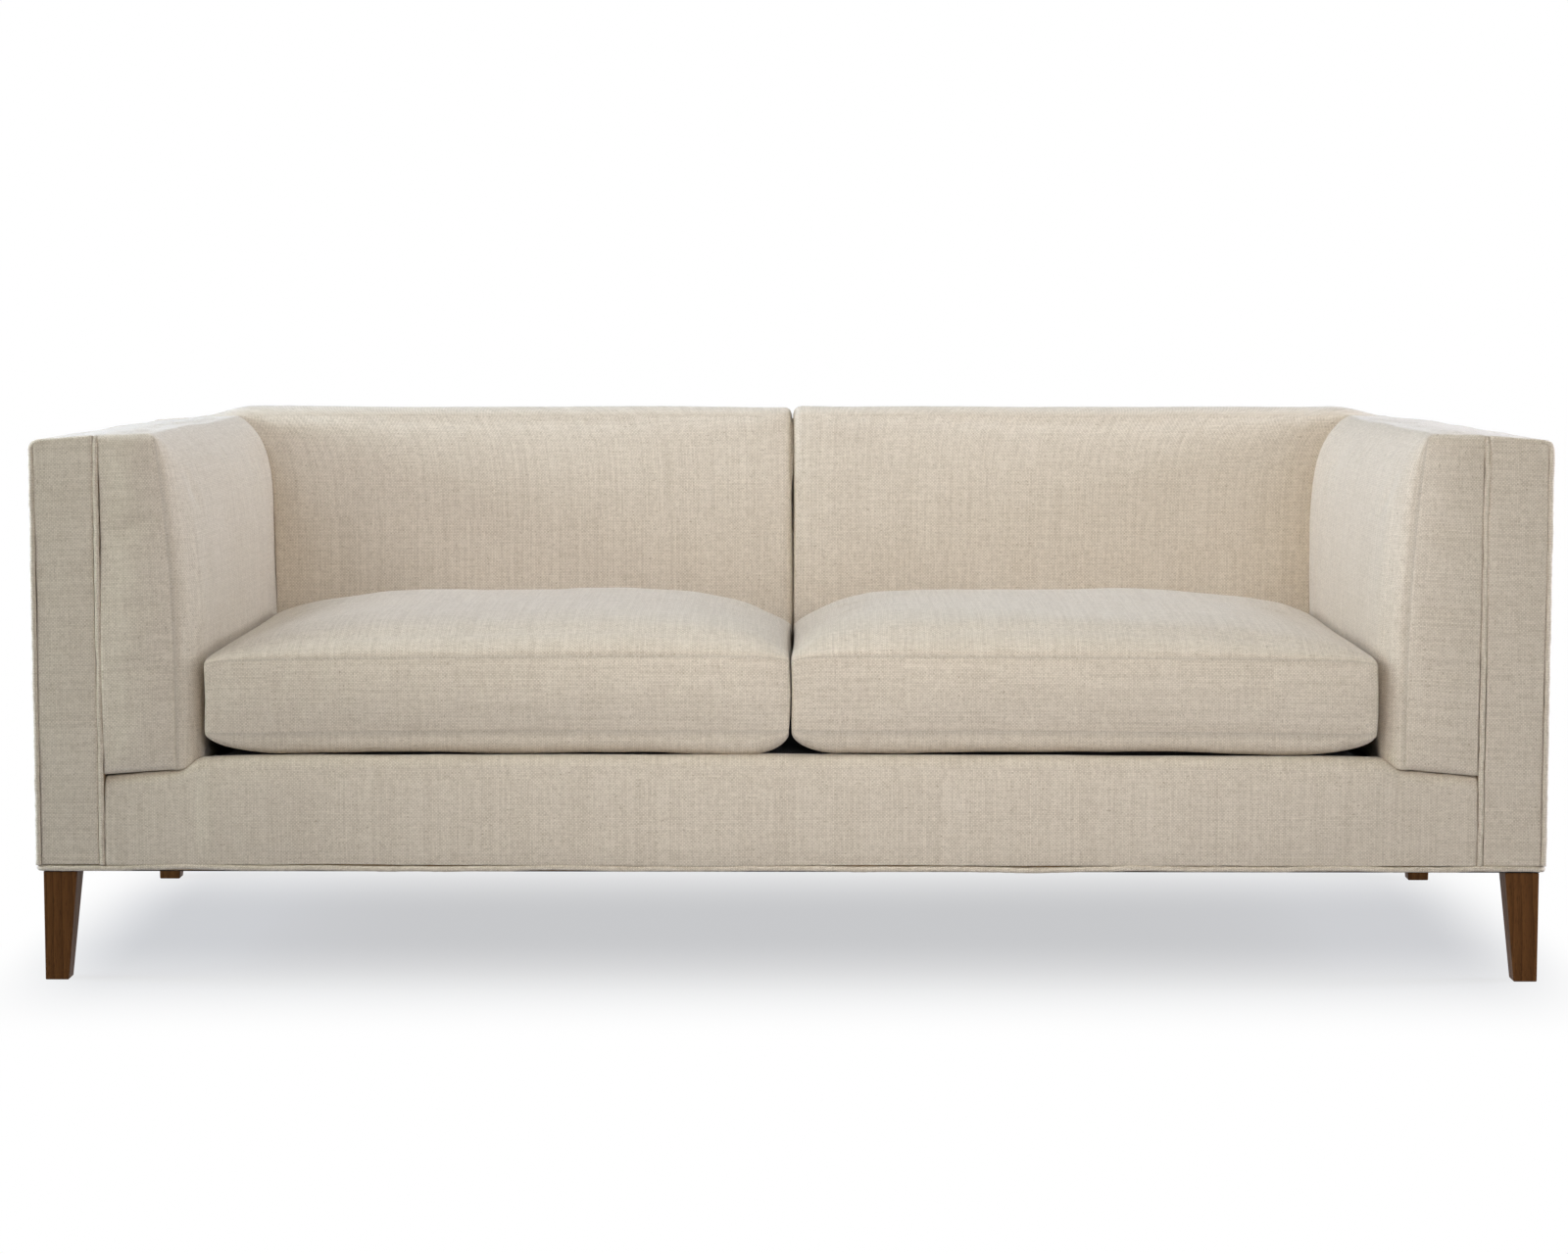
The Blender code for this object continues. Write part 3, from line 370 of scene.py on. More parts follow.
# The edge of a cap, as (axis, from its far end), that lies on each of the four sides
CAP_EDGES = ((1, False), (0, True), (1, True), (0, False))
NO_SEAMS = (False, False, False, False)
ALL_SEAMS = (True, True, True, True)


def seam_distances(panels, start_seams, end_seams):
    """How far each point of each panel lies from the seams round the two caps."""
    distances = [np.full(panel.shape[:2], 1.0) for panel in panels]

    def measure(number, axis, from_far_end):
        """Lowers a panel's distances to those from one of its edges."""
        way = run_along(panels[number], axis)
        if from_far_end:
            way = np.take(way, [-1], axis=axis) - way
        distances[number] = np.minimum(distances[number], way)

    for cap, sewn_sides in ((4, start_seams), (5, end_seams)):
        for side in range(4):
            if sewn_sides[side]:
                measure(side, 1, cap == 5)
                measure(cap, *CAP_EDGES[side])
    return distances


def weave_places(panels, seed):
    """Where each panel lies on its cloth, in metres: the sides are one strip, and each cap is its own cut."""
    draw = np.random.default_rng(seed)
    origin = draw.uniform(0.0, 20.0, (3, 2))
    places = []
    turned = 0.0
    for number, panel in enumerate(panels):
        down = run_along(panel, 0)[:, panel.shape[1] // 2]
        over = run_along(panel, 1)[panel.shape[0] // 2]
        u, v = np.meshgrid(down, over, indexing="ij")
        if number < 4:
            places.append(np.stack([v, u + turned], axis=-1) + origin[0])
            turned += down[-1]
        else:
            places.append(np.stack([u, v], axis=-1) + origin[number - 3])
    return places


def welded(panels):
    """The points of all panels with shared edges joined, and each panel's point numbers."""
    flat = np.concatenate([panel.reshape(-1, 3) for panel in panels])
    _, first, joined = np.unique(np.round(flat, 6), axis=0, return_index=True, return_inverse=True)
    numbers = []
    start = 0
    for panel in panels:
        rows, columns = panel.shape[:2]
        numbers.append(joined.reshape(-1)[start : start + rows * columns].reshape(rows, columns))
        start += rows * columns
    return flat[first], numbers


def quads(grid):
    """The four corners of every cell of a grid."""
    cells = (grid[:-1, :-1], grid[1:, :-1], grid[1:, 1:], grid[:-1, 1:])
    return np.stack(cells, axis=2).reshape(-1, 4, *grid.shape[2:])


def mesh_of(name, points, faces, places=None):
    """A closed mesh with its faces turned outwards, and its place on the cloth as a UV map."""
    mesh = bpy.data.meshes.new(name)
    mesh.from_pydata(points.tolist(), [], faces)
    if places is not None:
        mesh.uv_layers.new(name="weave").uv.foreach_set("vector", places.astype(np.float32).ravel())
    shape = bmesh.new()
    shape.from_mesh(mesh)
    bmesh.ops.recalc_face_normals(shape, faces=shape.faces)
    shape.to_mesh(mesh)
    shape.free()
    mesh.shade_smooth()
    return mesh


def add_object(name, mesh, material):
    """Puts a mesh into the scene, with a material if it has none."""
    piece = bpy.data.objects.new(name, mesh)
    bpy.context.scene.collection.objects.link(piece)
    if material:
        mesh.materials.append(material)
    return piece


# Reach of the shade painted along the seams, where the cloth's colour is darkened as if in shadow
SEAM_SHADE_WIDTH = 0.0013


def upholstered(name, panels, material, seed, seams=(NO_SEAMS, NO_SEAMS), relief=None):
    """A sewn and covered piece: panels joined at their edges, then raised or drawn in by its relief."""
    points, numbers = welded(panels)
    faces = np.concatenate([quads(grid) for grid in numbers]).tolist()
    places = np.concatenate([quads(place) for place in weave_places(panels, seed)])
    mesh = mesh_of(name, points, faces, places)
    distance = np.ones(len(points))
    for grid, found in zip(numbers, seam_distances(panels, *seams)):
        np.minimum.at(distance, grid.ravel(), found.ravel())
    if relief:
        normals = np.empty(len(points) * 3, np.float32)
        mesh.vertex_normals.foreach_get("vector", normals)
        points = points + normals.reshape(-1, 3) * relief(points, distance)[:, None]
        mesh.vertices.foreach_set("co", points.astype(np.float32).ravel())
        mesh.update()
    # Painted shade: a mask, kept as the seam attribute, that darkens the cloth's colour near each seam
    shade = np.exp(-((distance / SEAM_SHADE_WIDTH) ** 2)).astype(np.float32)
    mesh.attributes.new("seam", "FLOAT", "POINT").data.foreach_set("value", shade)
    return add_object(name, mesh, material)


WARP_LAYER = 3.7
WEFT_LAYER = 11.3
FLECK_LAYER = 23.9
LONG_WARP = 0.10
LONG_WEFT = 0.15
ROUND_HEIGHT = 0.6
SLUB_HEIGHT = 0.7


def make_weave_group():
    """Plain weave on a cloth's own place in metres: uneven threads both ways, crossing over and under, with
    painted shade in the gaps between threads.
    """
    group, given, result = new_group("plain_weave", ["Thread", "Slub Length"], ["Tone", "Height", "Flecks"])
    parts = put(group, "ShaderNodeSeparateXYZ", {0: given["Vector"]}).outputs
    across = work_out(group, "DIVIDE", parts[0], given["Thread"])
    down = work_out(group, "DIVIDE", parts[1], given["Thread"])
    far_across = work_out(group, "DIVIDE", parts[0], given["Slub Length"])
    far_down = work_out(group, "DIVIDE", parts[1], given["Slub Length"])

    def threads(first, second, layer):
        """Thick and thin places along the threads of one way."""
        place = put(group, "ShaderNodeCombineXYZ", {0: first, 1: second, 2: layer}).outputs[0]
        return cloudy(group, place, 1.0, 1.5)

    def own_tone(first, second):
        """A tone for each whole step both ways: for each crossing, or for each length of thread."""
        steps = {0: work_out(group, "FLOOR", first), 1: work_out(group, "FLOOR", second)}
        place = put(group, "ShaderNodeCombineXYZ", steps).outputs[0]
        noise = put(group, "ShaderNodeTexWhiteNoise", {"Vector": place}, noise_dimensions="2D")
        return noise.outputs["Value"]

    def rounded_thread(turn):
        """The round height of each thread, and the wave that it is taken from."""
        wave = work_out(group, "SINE", work_out(group, "MULTIPLY", turn, math.pi))
        return work_out(group, "ABSOLUTE", wave), wave

    def weighted(*terms):
        """A sum of values, each less its own middle and times its own weight, about one half."""
        total = 0.5
        for value, middle, weight in terms:
            part = work_out(group, "MULTIPLY", work_out(group, "SUBTRACT", value, middle), weight)
            total = work_out(group, "ADD", part, total)
        return total

    warp = threads(across, far_down, WARP_LAYER)
    weft = threads(far_across, down, WEFT_LAYER)
    knot = own_tone(across, down)
    warp_round, warp_wave = rounded_thread(across)
    weft_round, weft_wave = rounded_thread(down)
    over = ramped(group, work_out(group, "MULTIPLY", warp_wave, weft_wave), -0.30, 0.30)
    under = work_out(group, "SUBTRACT", 1.0, over)
    raised = work_out(group, "MULTIPLY", warp_round, over)
    raised = work_out(group, "ADD", raised, work_out(group, "MULTIPLY", weft_round, under))
    on_top = work_out(group, "MULTIPLY", warp, over)
    on_top = work_out(group, "ADD", on_top, work_out(group, "MULTIPLY", weft, under))
    streaks = work_out(group, "MULTIPLY", work_out(group, "ADD", warp, weft), 0.5)
    long_across = work_out(group, "MULTIPLY", far_across, LONG_WEFT)
    long_down = work_out(group, "MULTIPLY", far_down, LONG_WARP)
    warp_pick = own_tone(across, long_down)
    weft_pick = own_tone(long_across, down)
    picks = ((warp_pick, 0.5, 0.24), (weft_pick, 0.5, 0.13))
    # The tone is darker where the threads are low, between them: painted shade in the gaps of the weave
    crossing_tones_and_gap_shade = ((knot, 0.5, 0.25), (over, 0.5, 0.34), (raised, 0.6, 0.58))
    tone = weighted((on_top, 0.5, 0.95), (streaks, 0.5, 0.30), *crossing_tones_and_gap_shade, *picks)
    group.links.new(ramped(group, tone, 0.0, 1.0), result["Tone"])
    lumps = work_out(group, "MULTIPLY", streaks, SLUB_HEIGHT)
    rounds = work_out(group, "MULTIPLY", raised, ROUND_HEIGHT)
    group.links.new(work_out(group, "ADD", rounds, lumps), result["Height"])
    half_across = work_out(group, "MULTIPLY", far_across, 2.0)
    specks = threads(half_across, work_out(group, "MULTIPLY", down, 0.8), FLECK_LAYER)
    group.links.new(ramped(group, specks, 0.66, 0.74), result["Flecks"])
    return group


PLAIN_WEAVE = make_weave_group()


# How much the painted shade along the seams darkens the cloth, and how dark its shadow colour is
SEAM_SHADE = 0.22
SEAM_DARKNESS = 0.42
FLECK_WEIGHT = 0.5
PATCH_TONE = 0.025


def cloth_material(name, pale, dark, fleck, thread, slub, bump, sheen):
    """Woven cloth: its threads' tones, dark flecks, painted shade in its seams, soft sheen and a raised
    weave.
    """
    material, tree, shader = new_material(name)
    place = put(tree, "ShaderNodeUVMap", {}, uv_map="weave").outputs[0]
    values = {"Vector": place, "Thread": thread, "Slub Length": slub}
    weave = put(tree, "ShaderNodeGroup", values, node_tree=PLAIN_WEAVE).outputs
    patches = cloudy(tree, place, 9.0, 2.0)
    tone = work_out(tree, "ADD", weave["Tone"], ramped(tree, patches, 0.3, 0.7, -PATCH_TONE, PATCH_TONE))
    colour = between(tree, tone, (*dark, 1), (*pale, 1))
    fleck_share = work_out(tree, "MULTIPLY", weave["Flecks"], FLECK_WEIGHT)
    colour = between(tree, fleck_share, colour, (*fleck, 1))
    # Painted shade along the seams: the colour is taken towards a shadow colour by the seam mask
    seam = put(tree, "ShaderNodeAttribute", {}, attribute_name="seam").outputs["Fac"]
    painted_seam_shade = work_out(tree, "MULTIPLY", seam, SEAM_SHADE)
    shadow = tuple(SEAM_DARKNESS * part for part in dark)
    join(tree, between(tree, painted_seam_shade, colour, (*shadow, 1)), shader, "Base Color")
    join(tree, ramped(tree, weave["Tone"], 0.0, 1.0, 0.96, 0.84), shader, "Roughness")
    shader.inputs["Specular IOR Level"].default_value = 0.25
    shader.inputs["Sheen Weight"].default_value = sheen
    shader.inputs["Sheen Roughness"].default_value = 0.45
    roughened(tree, shader, weave["Height"], bump, 0.0006)
    return material


BLACK_PALE = (0.020, 0.020, 0.021)
BLACK_DARK = (0.008, 0.008, 0.009)
cambric = cloth_material("black_cambric", BLACK_PALE, BLACK_DARK, BLACK_DARK, 0.0008, 0.012, 0.3, 0.05)
cover_low, cover_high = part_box("dust_cover")
cover_size = cover_high - cover_low
COVER_SLACK = 0.0016
COVER_RIPPLE = 0.21
COVER_HELD = 0.02
COVER_SLACK_RUN = 0.12
COVER_STEP = 0.03
SHEET_WAYS = np.array([0.0, 1.0])


def slab_ring(low, high):
    """The edge of a thin flat sheet between two corners, from its underside to its top."""
    corner_x = (low.x, high.x, high.x, low.x, low.x)
    corner_y = (low.y, low.y, high.y, high.y, low.y)
    corner_points = np.array([corner_x, corner_y]).T

    def ring(number, share, way):
        """Places on one of the sheet's four edges."""
        first, second = corner_points[number], corner_points[number + 1]
        flat = first + share[..., None] * (second - first)
        height = low.z + way * (high.z - low.z)
        return np.concatenate([flat, height[..., None]], axis=-1)

    return ring


def slack_cover(points):
    """How far the cover sags: not at all along its stapled edges, a little between them."""
    edge = np.minimum(cover_high.x - np.abs(points[..., 0]), cover_high.y - np.abs(points[..., 1]))
    sag = COVER_SLACK * (np.clip(ripples(points, COVER_RIPPLE, 5), -1.0, 1.0) - 1.0)
    return sag * eased((edge - COVER_HELD) / COVER_SLACK_RUN)


cover_around = (stations(cover_size.x, COVER_STEP), stations(cover_size.y, COVER_STEP))
cover_panels = boxed(slab_ring(cover_low, cover_high), cover_around, SHEET_WAYS)
slack = slack_cover(cover_panels[4])
cover_panels[4][..., 2] += slack
cover_panels[5][..., 2] += slack
dust_cover = upholstered("black_dust_cover", cover_panels, cambric, 21)
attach(dust_cover, "sofa_frame")
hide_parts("dust_cover")


# Staples: fine steel wire staples, driven every few centimetres round the edge of the dust cover.
# Each is a crown with two legs, and only the crown is left outside the cloth.
STAPLE_WIDTH = 0.010
STAPLE_WIRE = 0.0009
STAPLE_LEG = 0.0012
STAPLE_PITCH = 0.042
STAPLE_INSET = 0.012
STAPLE_LEG_SHARE = 0.46


def new_nodes(name, inputs):
    """An empty Geometry Nodes tree with named inputs; returns it with its input and output sockets."""
    tree = bpy.data.node_groups.new(name, "GeometryNodeTree")
    tree.interface.new_socket("Geometry", in_out="INPUT", socket_type="NodeSocketGeometry")
    for label, kind in inputs:
        tree.interface.new_socket(label, in_out="INPUT", socket_type=kind)
    tree.interface.new_socket("Geometry", in_out="OUTPUT", socket_type="NodeSocketGeometry")
    given = tree.nodes.new("NodeGroupInput").outputs
    result = tree.nodes.new("NodeGroupOutput").inputs
    return tree, given, result


def join_all(tree, outputs):
    """Several geometries joined into one."""
    joined = tree.nodes.new("GeometryNodeJoinGeometry")
    for output in outputs:
        tree.links.new(output, joined.inputs[0])
    return joined.outputs[0]


def grown(name, tree, base, values):
    """Runs a tree on a base mesh with its inputs set, and returns the result as a plain mesh."""
    holder = bpy.data.objects.new(name, base)
    bpy.context.scene.collection.objects.link(holder)
    modifier = holder.modifiers.new("grow", "NODES")
    modifier.node_group = tree
    for item in tree.interface.items_tree:
        if item.in_out == "INPUT" and item.name in values:
            modifier[item.identifier] = values[item.name]
    bpy.context.view_layer.update()
    graph = bpy.context.evaluated_depsgraph_get()
    mesh = bpy.data.meshes.new_from_object(holder.evaluated_get(graph))
    holder.modifiers.remove(modifier)
    bpy.data.objects.remove(holder, do_unlink=True)
    return mesh


def make_staple_tree():
    """Staples along the edges of the mesh that comes in, lying along them."""
    sizes = [("Pitch", "NodeSocketFloat"), ("Crown", "NodeSocketVector"), ("Leg", "NodeSocketVector")]
    tree, given, result = new_nodes("staple_row", sizes + [("Finish", "NodeSocketMaterial")])
    path = put(tree, "GeometryNodeMeshToCurve", {0: given["Geometry"]}).outputs[0]
    spread = put(tree, "GeometryNodeCurveToPoints", {"Curve": path, "Length": given["Pitch"]}, mode="LENGTH")
    crown = put(tree, "GeometryNodeMeshCube", {"Size": given["Crown"]}).outputs[0]
    leg = put(tree, "GeometryNodeMeshCube", {"Size": given["Leg"]}).outputs[0]
    reach = put(tree, "ShaderNodeSeparateXYZ", {0: given["Crown"]}).outputs
    deep = put(tree, "ShaderNodeSeparateXYZ", {0: given["Leg"]}).outputs
    pieces = [crown]
    for half in (-STAPLE_LEG_SHARE, STAPLE_LEG_SHARE):
        aside = work_out(tree, "MULTIPLY", reach[2], half)
        inward = work_out(tree, "MULTIPLY", deep[0], 0.5)
        spot = put(tree, "ShaderNodeCombineXYZ", {0: inward, 2: aside}).outputs[0]
        pieces.append(put(tree, "GeometryNodeTransform", {0: leg, "Translation": spot}).outputs[0])
    values = {"Points": spread.outputs["Points"], "Instance": join_all(tree, pieces)}
    values["Rotation"] = spread.outputs["Rotation"]
    copies = put(tree, "GeometryNodeInstanceOnPoints", values).outputs[0]
    solid = put(tree, "GeometryNodeRealizeInstances", {0: copies}).outputs[0]
    finished = put(tree, "GeometryNodeSetMaterial", {0: solid, "Material": given["Finish"]})
    tree.links.new(finished.outputs[0], result[0])
    return tree


staple_x = cover_high.x - STAPLE_INSET
staple_y = cover_high.y - STAPLE_INSET
staple_z = cover_low.z - STAPLE_WIRE / 2
staple_path = bpy.data.meshes.new("staple_path")
staple_corners = [(-staple_x, -staple_y), (staple_x, -staple_y), (staple_x, staple_y), (-staple_x, staple_y)]
staple_edges = [(0, 1), (1, 2), (2, 3), (3, 0)]
staple_path.from_pydata([(x, y, staple_z) for x, y in staple_corners], staple_edges, [])
staple_mesh = grown(
    "staples",
    make_staple_tree(),
    staple_path,
    {
        "Pitch": STAPLE_PITCH,
        "Crown": (STAPLE_WIRE, STAPLE_WIRE, STAPLE_WIDTH),
        "Leg": (STAPLE_LEG, STAPLE_WIRE, STAPLE_WIRE),
        "Finish": zinc_steel,
    },
)
staples = add_object("dust_cover_staples", staple_mesh, None)
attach(staples, "sofa_frame")


# Seat springs and back straps: sinuous wire springs from rail to rail, tied across, and woven tape straps.
# The springs are oil-tempered steel wire, and the straps are stretched and tacked.
spring_steel = metal_material("spring_wire", (0.20, 0.20, 0.21), 0.42, 0.6)
finish_nodes(spring_steel, ["seat_springs"])


def strap_material(name, pale, dark, thread):
    """Heavy tape on Object coordinates: rounded warp ends side by side, crossed by a fine weft."""
    material, tree, shader = new_material(name)
    place = object_place(tree)
    parts = put(tree, "ShaderNodeSeparateXYZ", {0: place}).outputs
    flat = put(tree, "ShaderNodeCombineXYZ", {0: parts[0], 1: parts[2]}).outputs[0]
    values = {"Vector": flat, "Thread": thread, "Slub Length": 0.03}
    weave = put(tree, "ShaderNodeGroup", values, node_tree=PLAIN_WEAVE).outputs
    join(tree, between(tree, weave["Tone"], (*dark, 1), (*pale, 1)), shader, "Base Color")
    shader.inputs["Roughness"].default_value = 0.9
    roughened(tree, shader, weave["Height"], 0.5, 0.0008)
    return material


finish_nodes(strap_material("strap_tape", (0.42, 0.37, 0.29), (0.22, 0.19, 0.14), 0.0022), ["back_straps"])


# Seat deck: a firm felted pad over the springs, under black decking cloth that is tucked in at the sides.
# A thin black edge of the decking shows under the rounded corners of the cushions.


def foam_material(name, pale, dark):
    """Open-cell foam: pale, matt and finely pitted, with painted shade darkening each pit."""
    material, tree, shader = new_material(name)
    place = object_place(tree)
    cells = put(tree, "ShaderNodeTexVoronoi", {"Vector": place, "Scale": 480.0}).outputs["Distance"]
    # Painted shade: the colour darkens towards the bottom of each pit
    painted_pit_shade = ramped(tree, cells, 0.0, 0.6, 0.0, 0.6)
    clouds = ramped(tree, cloudy(tree, place, 14.0, 3.0), 0.3, 0.7, 0.0, 0.4)
    tone = work_out(tree, "ADD", painted_pit_shade, clouds)
    join(tree, between(tree, tone, (*dark, 1), (*pale, 1)), shader, "Base Color")
    shader.inputs["Roughness"].default_value = 0.95
    roughened(tree, shader, cells, 0.4, 0.001)
    return material


foam = foam_material("seat_foam", (0.80, 0.74, 0.58), (0.62, 0.55, 0.40))
deck_low, deck_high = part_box("seat_deck_pad")
ARCH_RISE = 0.022
DECK_END_PRESS = 0.028
DECK_PRESS_FROM = 0.785
DECK_PRESS_RUN = 0.050
DECK_FRONT_PRESS = 0.009
DECK_FRONT_RUN = 0.070
DECK_CLEAR = 0.0012
DECK_STEP = 0.010
DECK_STEP_UP = 0.012


def deck_ring(number, share, way):
    """The pad's outline from side to side; its underside is arched over the springs."""
    ring = slab_ring(deck_low, deck_high)(number, share, way)
    along = (ring[..., 1] - deck_low.y) / (deck_high.y - deck_low.y)
    ring[..., 2] += (1.0 - way) * ARCH_RISE * 4.0 * along * (1.0 - along)
    return ring


def arch_underside(cap, a, b):
    """The pad's underside, arched as its ends are."""
    cap[..., 2] = deck_low.z + ARCH_RISE * 4.0 * b * (1.0 - b)
    return cap


def deck_sunk(points):
    """How far the deck sinks: at its ends under the arms, and at its front edge under the cushions."""
    ends = DECK_END_PRESS * eased((np.abs(points[..., 0]) - DECK_PRESS_FROM) / DECK_PRESS_RUN)
    front = DECK_FRONT_PRESS * (1.0 - eased((points[..., 1] - deck_low.y) / DECK_FRONT_RUN))
    return np.maximum(ends, front)


def pressed(points):
    """The pad thins where it sinks, a little clear of its cloth; its underside stays on the springs."""
    high = (points[..., 2] - deck_low.z) / (deck_high.z - deck_low.z)
    sunk = deck_sunk(points)
    points[..., 2] -= (sunk + np.minimum(sunk, DECK_CLEAR)) * np.clip(high, 0.0, 1.0)
    return points


deck_size = deck_high - deck_low
deck_around = (stations(deck_size.x, DECK_STEP), stations(deck_size.y, DECK_STEP))
deck_panels = boxed(deck_ring, deck_around, stations(deck_size.z, DECK_STEP_UP), (arch_underside, None))
deck_panels = [pressed(panel) for panel in deck_panels]
deck_pad = upholstered("felted_deck_pad", deck_panels, foam, 22)
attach(deck_pad, "sofa_frame")
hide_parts("seat_deck_pad")

decking = cloth_material("black_decking", BLACK_PALE, BLACK_DARK, BLACK_DARK, 0.0012, 0.02, 0.4, 0.08)
deck_cloth_low, deck_cloth_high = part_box("seat_deck_cloth")
deck_cloth_size = deck_cloth_high - deck_cloth_low
deck_cloth_around = (stations(deck_cloth_size.x, DECK_STEP), stations(deck_cloth_size.y, DECK_STEP))
deck_cloth_ring = slab_ring(deck_cloth_low, deck_cloth_high)
deck_cloth_panels = boxed(deck_cloth_ring, deck_cloth_around, SHEET_WAYS)
for panel in deck_cloth_panels:
    panel[..., 2] -= deck_sunk(panel)
deck_cloth = upholstered("black_deck_cloth", deck_cloth_panels, decking, 23)
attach(deck_cloth, "sofa_frame")
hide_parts("seat_deck_cloth")


# Inside arms: thick foam and fibre pads in linen, boxed at the front, that line the arms from top to deck.
# One cut of linen runs up the inside and over the top, and a plain seam joins it to the boxed front.
OATMEAL_PALE = (0.735, 0.652, 0.538)
OATMEAL_DARK = (0.485, 0.410, 0.312)
OATMEAL_FLECK = (0.300, 0.235, 0.165)
linen = cloth_material("oatmeal_linen", OATMEAL_PALE, OATMEAL_DARK, OATMEAL_FLECK, 0.0025, 0.013, 0.45, 0.22)
LINEN_STEP = 0.006
SETTLE_STEP = 0.012
SETTLE_FRAMES = 20


def resampled(grid, old, new, axis):
    """A grid read at new places along one axis, on a smooth curve through evenly spaced old ones."""
    rows = np.moveaxis(grid, axis, 0)
    last = len(old) - 1
    place = np.clip(new * last, 0.0, last)
    cell = np.minimum(place.astype(int), last - 1)
    part = (place - cell).reshape(-1, *([1] * (rows.ndim - 1)))
    before, here = rows[np.maximum(cell - 1, 0)], rows[cell]
    ahead, after = rows[cell + 1], rows[np.minimum(cell + 2, last)]
    bend = 2 * before - 5 * here + 4 * ahead - after
    twist = 3 * (here - ahead) + after - before
    curve = here + 0.5 * part * (ahead - before + part * (bend + part * twist))
    return np.moveaxis(curve, 0, axis)


def settled(name, ring, caps, lengths, held, pressure, slack, most):
    """How far each panel of a boxed shape swells when its cloth is let out and blown up a little.

    Returns a function that gives the movement of panels at any stations. held(panel, a, b) is 1 where the
    cloth is sewn or tacked.
    """
    around_even = (evenly(lengths[0], SETTLE_STEP), evenly(lengths[1], SETTLE_STEP))
    along_even = evenly(lengths[2], SETTLE_STEP)
    panels = boxed(ring, around_even, along_even, caps)
    points, numbers = welded(panels)
    mesh = mesh_of(name, points, np.concatenate([quads(grid) for grid in numbers]).tolist())
    body = add_object(name, mesh, None)
    weights = np.zeros(len(points))
    for number, grid in enumerate(numbers):
        a, b = np.meshgrid(*panel_ways(number, around_even, along_even), indexing="ij")
        np.maximum.at(weights, grid.ravel(), held(number, a, b).ravel())
    group = body.vertex_groups.new(name="held")
    for weight in np.unique(np.round(weights, 2)):
        chosen = np.nonzero(np.round(weights, 2) == weight)[0]
        group.add(chosen.tolist(), float(weight), "REPLACE")
    cloth = body.modifiers.new("cloth", "CLOTH")
    cloth.settings.quality = 5
    cloth.settings.mass = 0.25
    cloth.settings.tension_stiffness = 30.0
    cloth.settings.compression_stiffness = 20.0
    cloth.settings.shear_stiffness = 8.0
    cloth.settings.bending_stiffness = 1.5
    cloth.settings.air_damping = 4.0
    cloth.settings.vertex_group_mass = "held"
    cloth.settings.use_pressure = True
    cloth.settings.uniform_pressure_force = pressure
    cloth.settings.shrink_min = -slack
    cloth.settings.effector_weights.gravity = 0.0
    cloth.point_cache.frame_start = 1
    cloth.point_cache.frame_end = SETTLE_FRAMES
    scene = bpy.context.scene
    for step in range(1, SETTLE_FRAMES + 1):
        scene.frame_set(step)
    graph = bpy.context.evaluated_depsgraph_get()
    moved = np.empty(len(points) * 3, np.float32)
    body.evaluated_get(graph).data.vertices.foreach_get("co", moved)
    normals = np.empty(len(points) * 3, np.float32)
    mesh.vertex_normals.foreach_get("vector", normals)
    normals = normals.reshape(-1, 3)
    outward = ((moved.reshape(-1, 3) - points) * normals).sum(axis=1, keepdims=True)
    shift = most * np.tanh(np.maximum(outward, 0.0) / most) * normals
    bpy.data.objects.remove(body, do_unlink=True)
    scene.frame_set(1)

    def at(around, along):
        """The movement of each panel at the stations given."""
        found = []
        for number, grid in enumerate(numbers):
            old = panel_ways(number, around_even, along_even)
            new = panel_ways(number, around, along)
            half = resampled(shift[grid], old[0], new[0], 0)
            found.append(resampled(half, old[1], new[1], 1))
        return found

    return at


def stuffed(name, ring, caps, lengths, held, pressure, slack, most, seams, seed, relief):
    """A padded piece in linen: panels moved by how the cloth settles, then shaped by its relief."""
    around = (stations(lengths[0], LINEN_STEP), stations(lengths[1], LINEN_STEP))
    along = stations(lengths[2], LINEN_STEP)
    panels = boxed(ring, around, along, caps)
    movement = settled(f"{name}_settling", ring, caps, lengths, held, pressure, slack, most)
    panels = [panel + shift for panel, shift in zip(panels, movement(around, along))]
    piece = upholstered(name, panels, linen, seed, seams, relief)
    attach(piece, "sofa_frame")
    return piece


SEAM_DEPTH = 0.0005
SEAM_GROOVE = 0.0017
SEAM_UNEVEN = (0.35, 0.017)
SEAM_PUCKER = 0.00022
PUCKER_PITCH = 0.013
PUCKER_REACH = 0.009
LUMP_LENGTH = 0.28
SMALL_LUMPS = (0.2, 0.08)
LUMPS_FROM_SEAM = 0.03


def drawn_seams(seed, lump=0.0010):
    """Relief of stuffed linen: seams drawn in and slightly puckered, broad soft lumps between them."""

    def relief(points, distance):
        """How far each point stands out, at its distance from the nearest seam."""
        groove = -SEAM_DEPTH * np.exp(-((distance / SEAM_GROOVE) ** 2))
        groove *= 1.0 + SEAM_UNEVEN[0] * ripples(points, SEAM_UNEVEN[1], seed + 1)
        gathers = SEAM_PUCKER * ripples(points, PUCKER_PITCH, seed + 2) * np.exp(-distance / PUCKER_REACH)
        soft = lump * ripples(points, LUMP_LENGTH, seed + 3)
        soft += SMALL_LUMPS[0] * lump * ripples(points, SMALL_LUMPS[1], seed + 4)
        return groove + gathers + soft * (1.0 - np.exp(-distance / LUMPS_FROM_SEAM))

    return relief


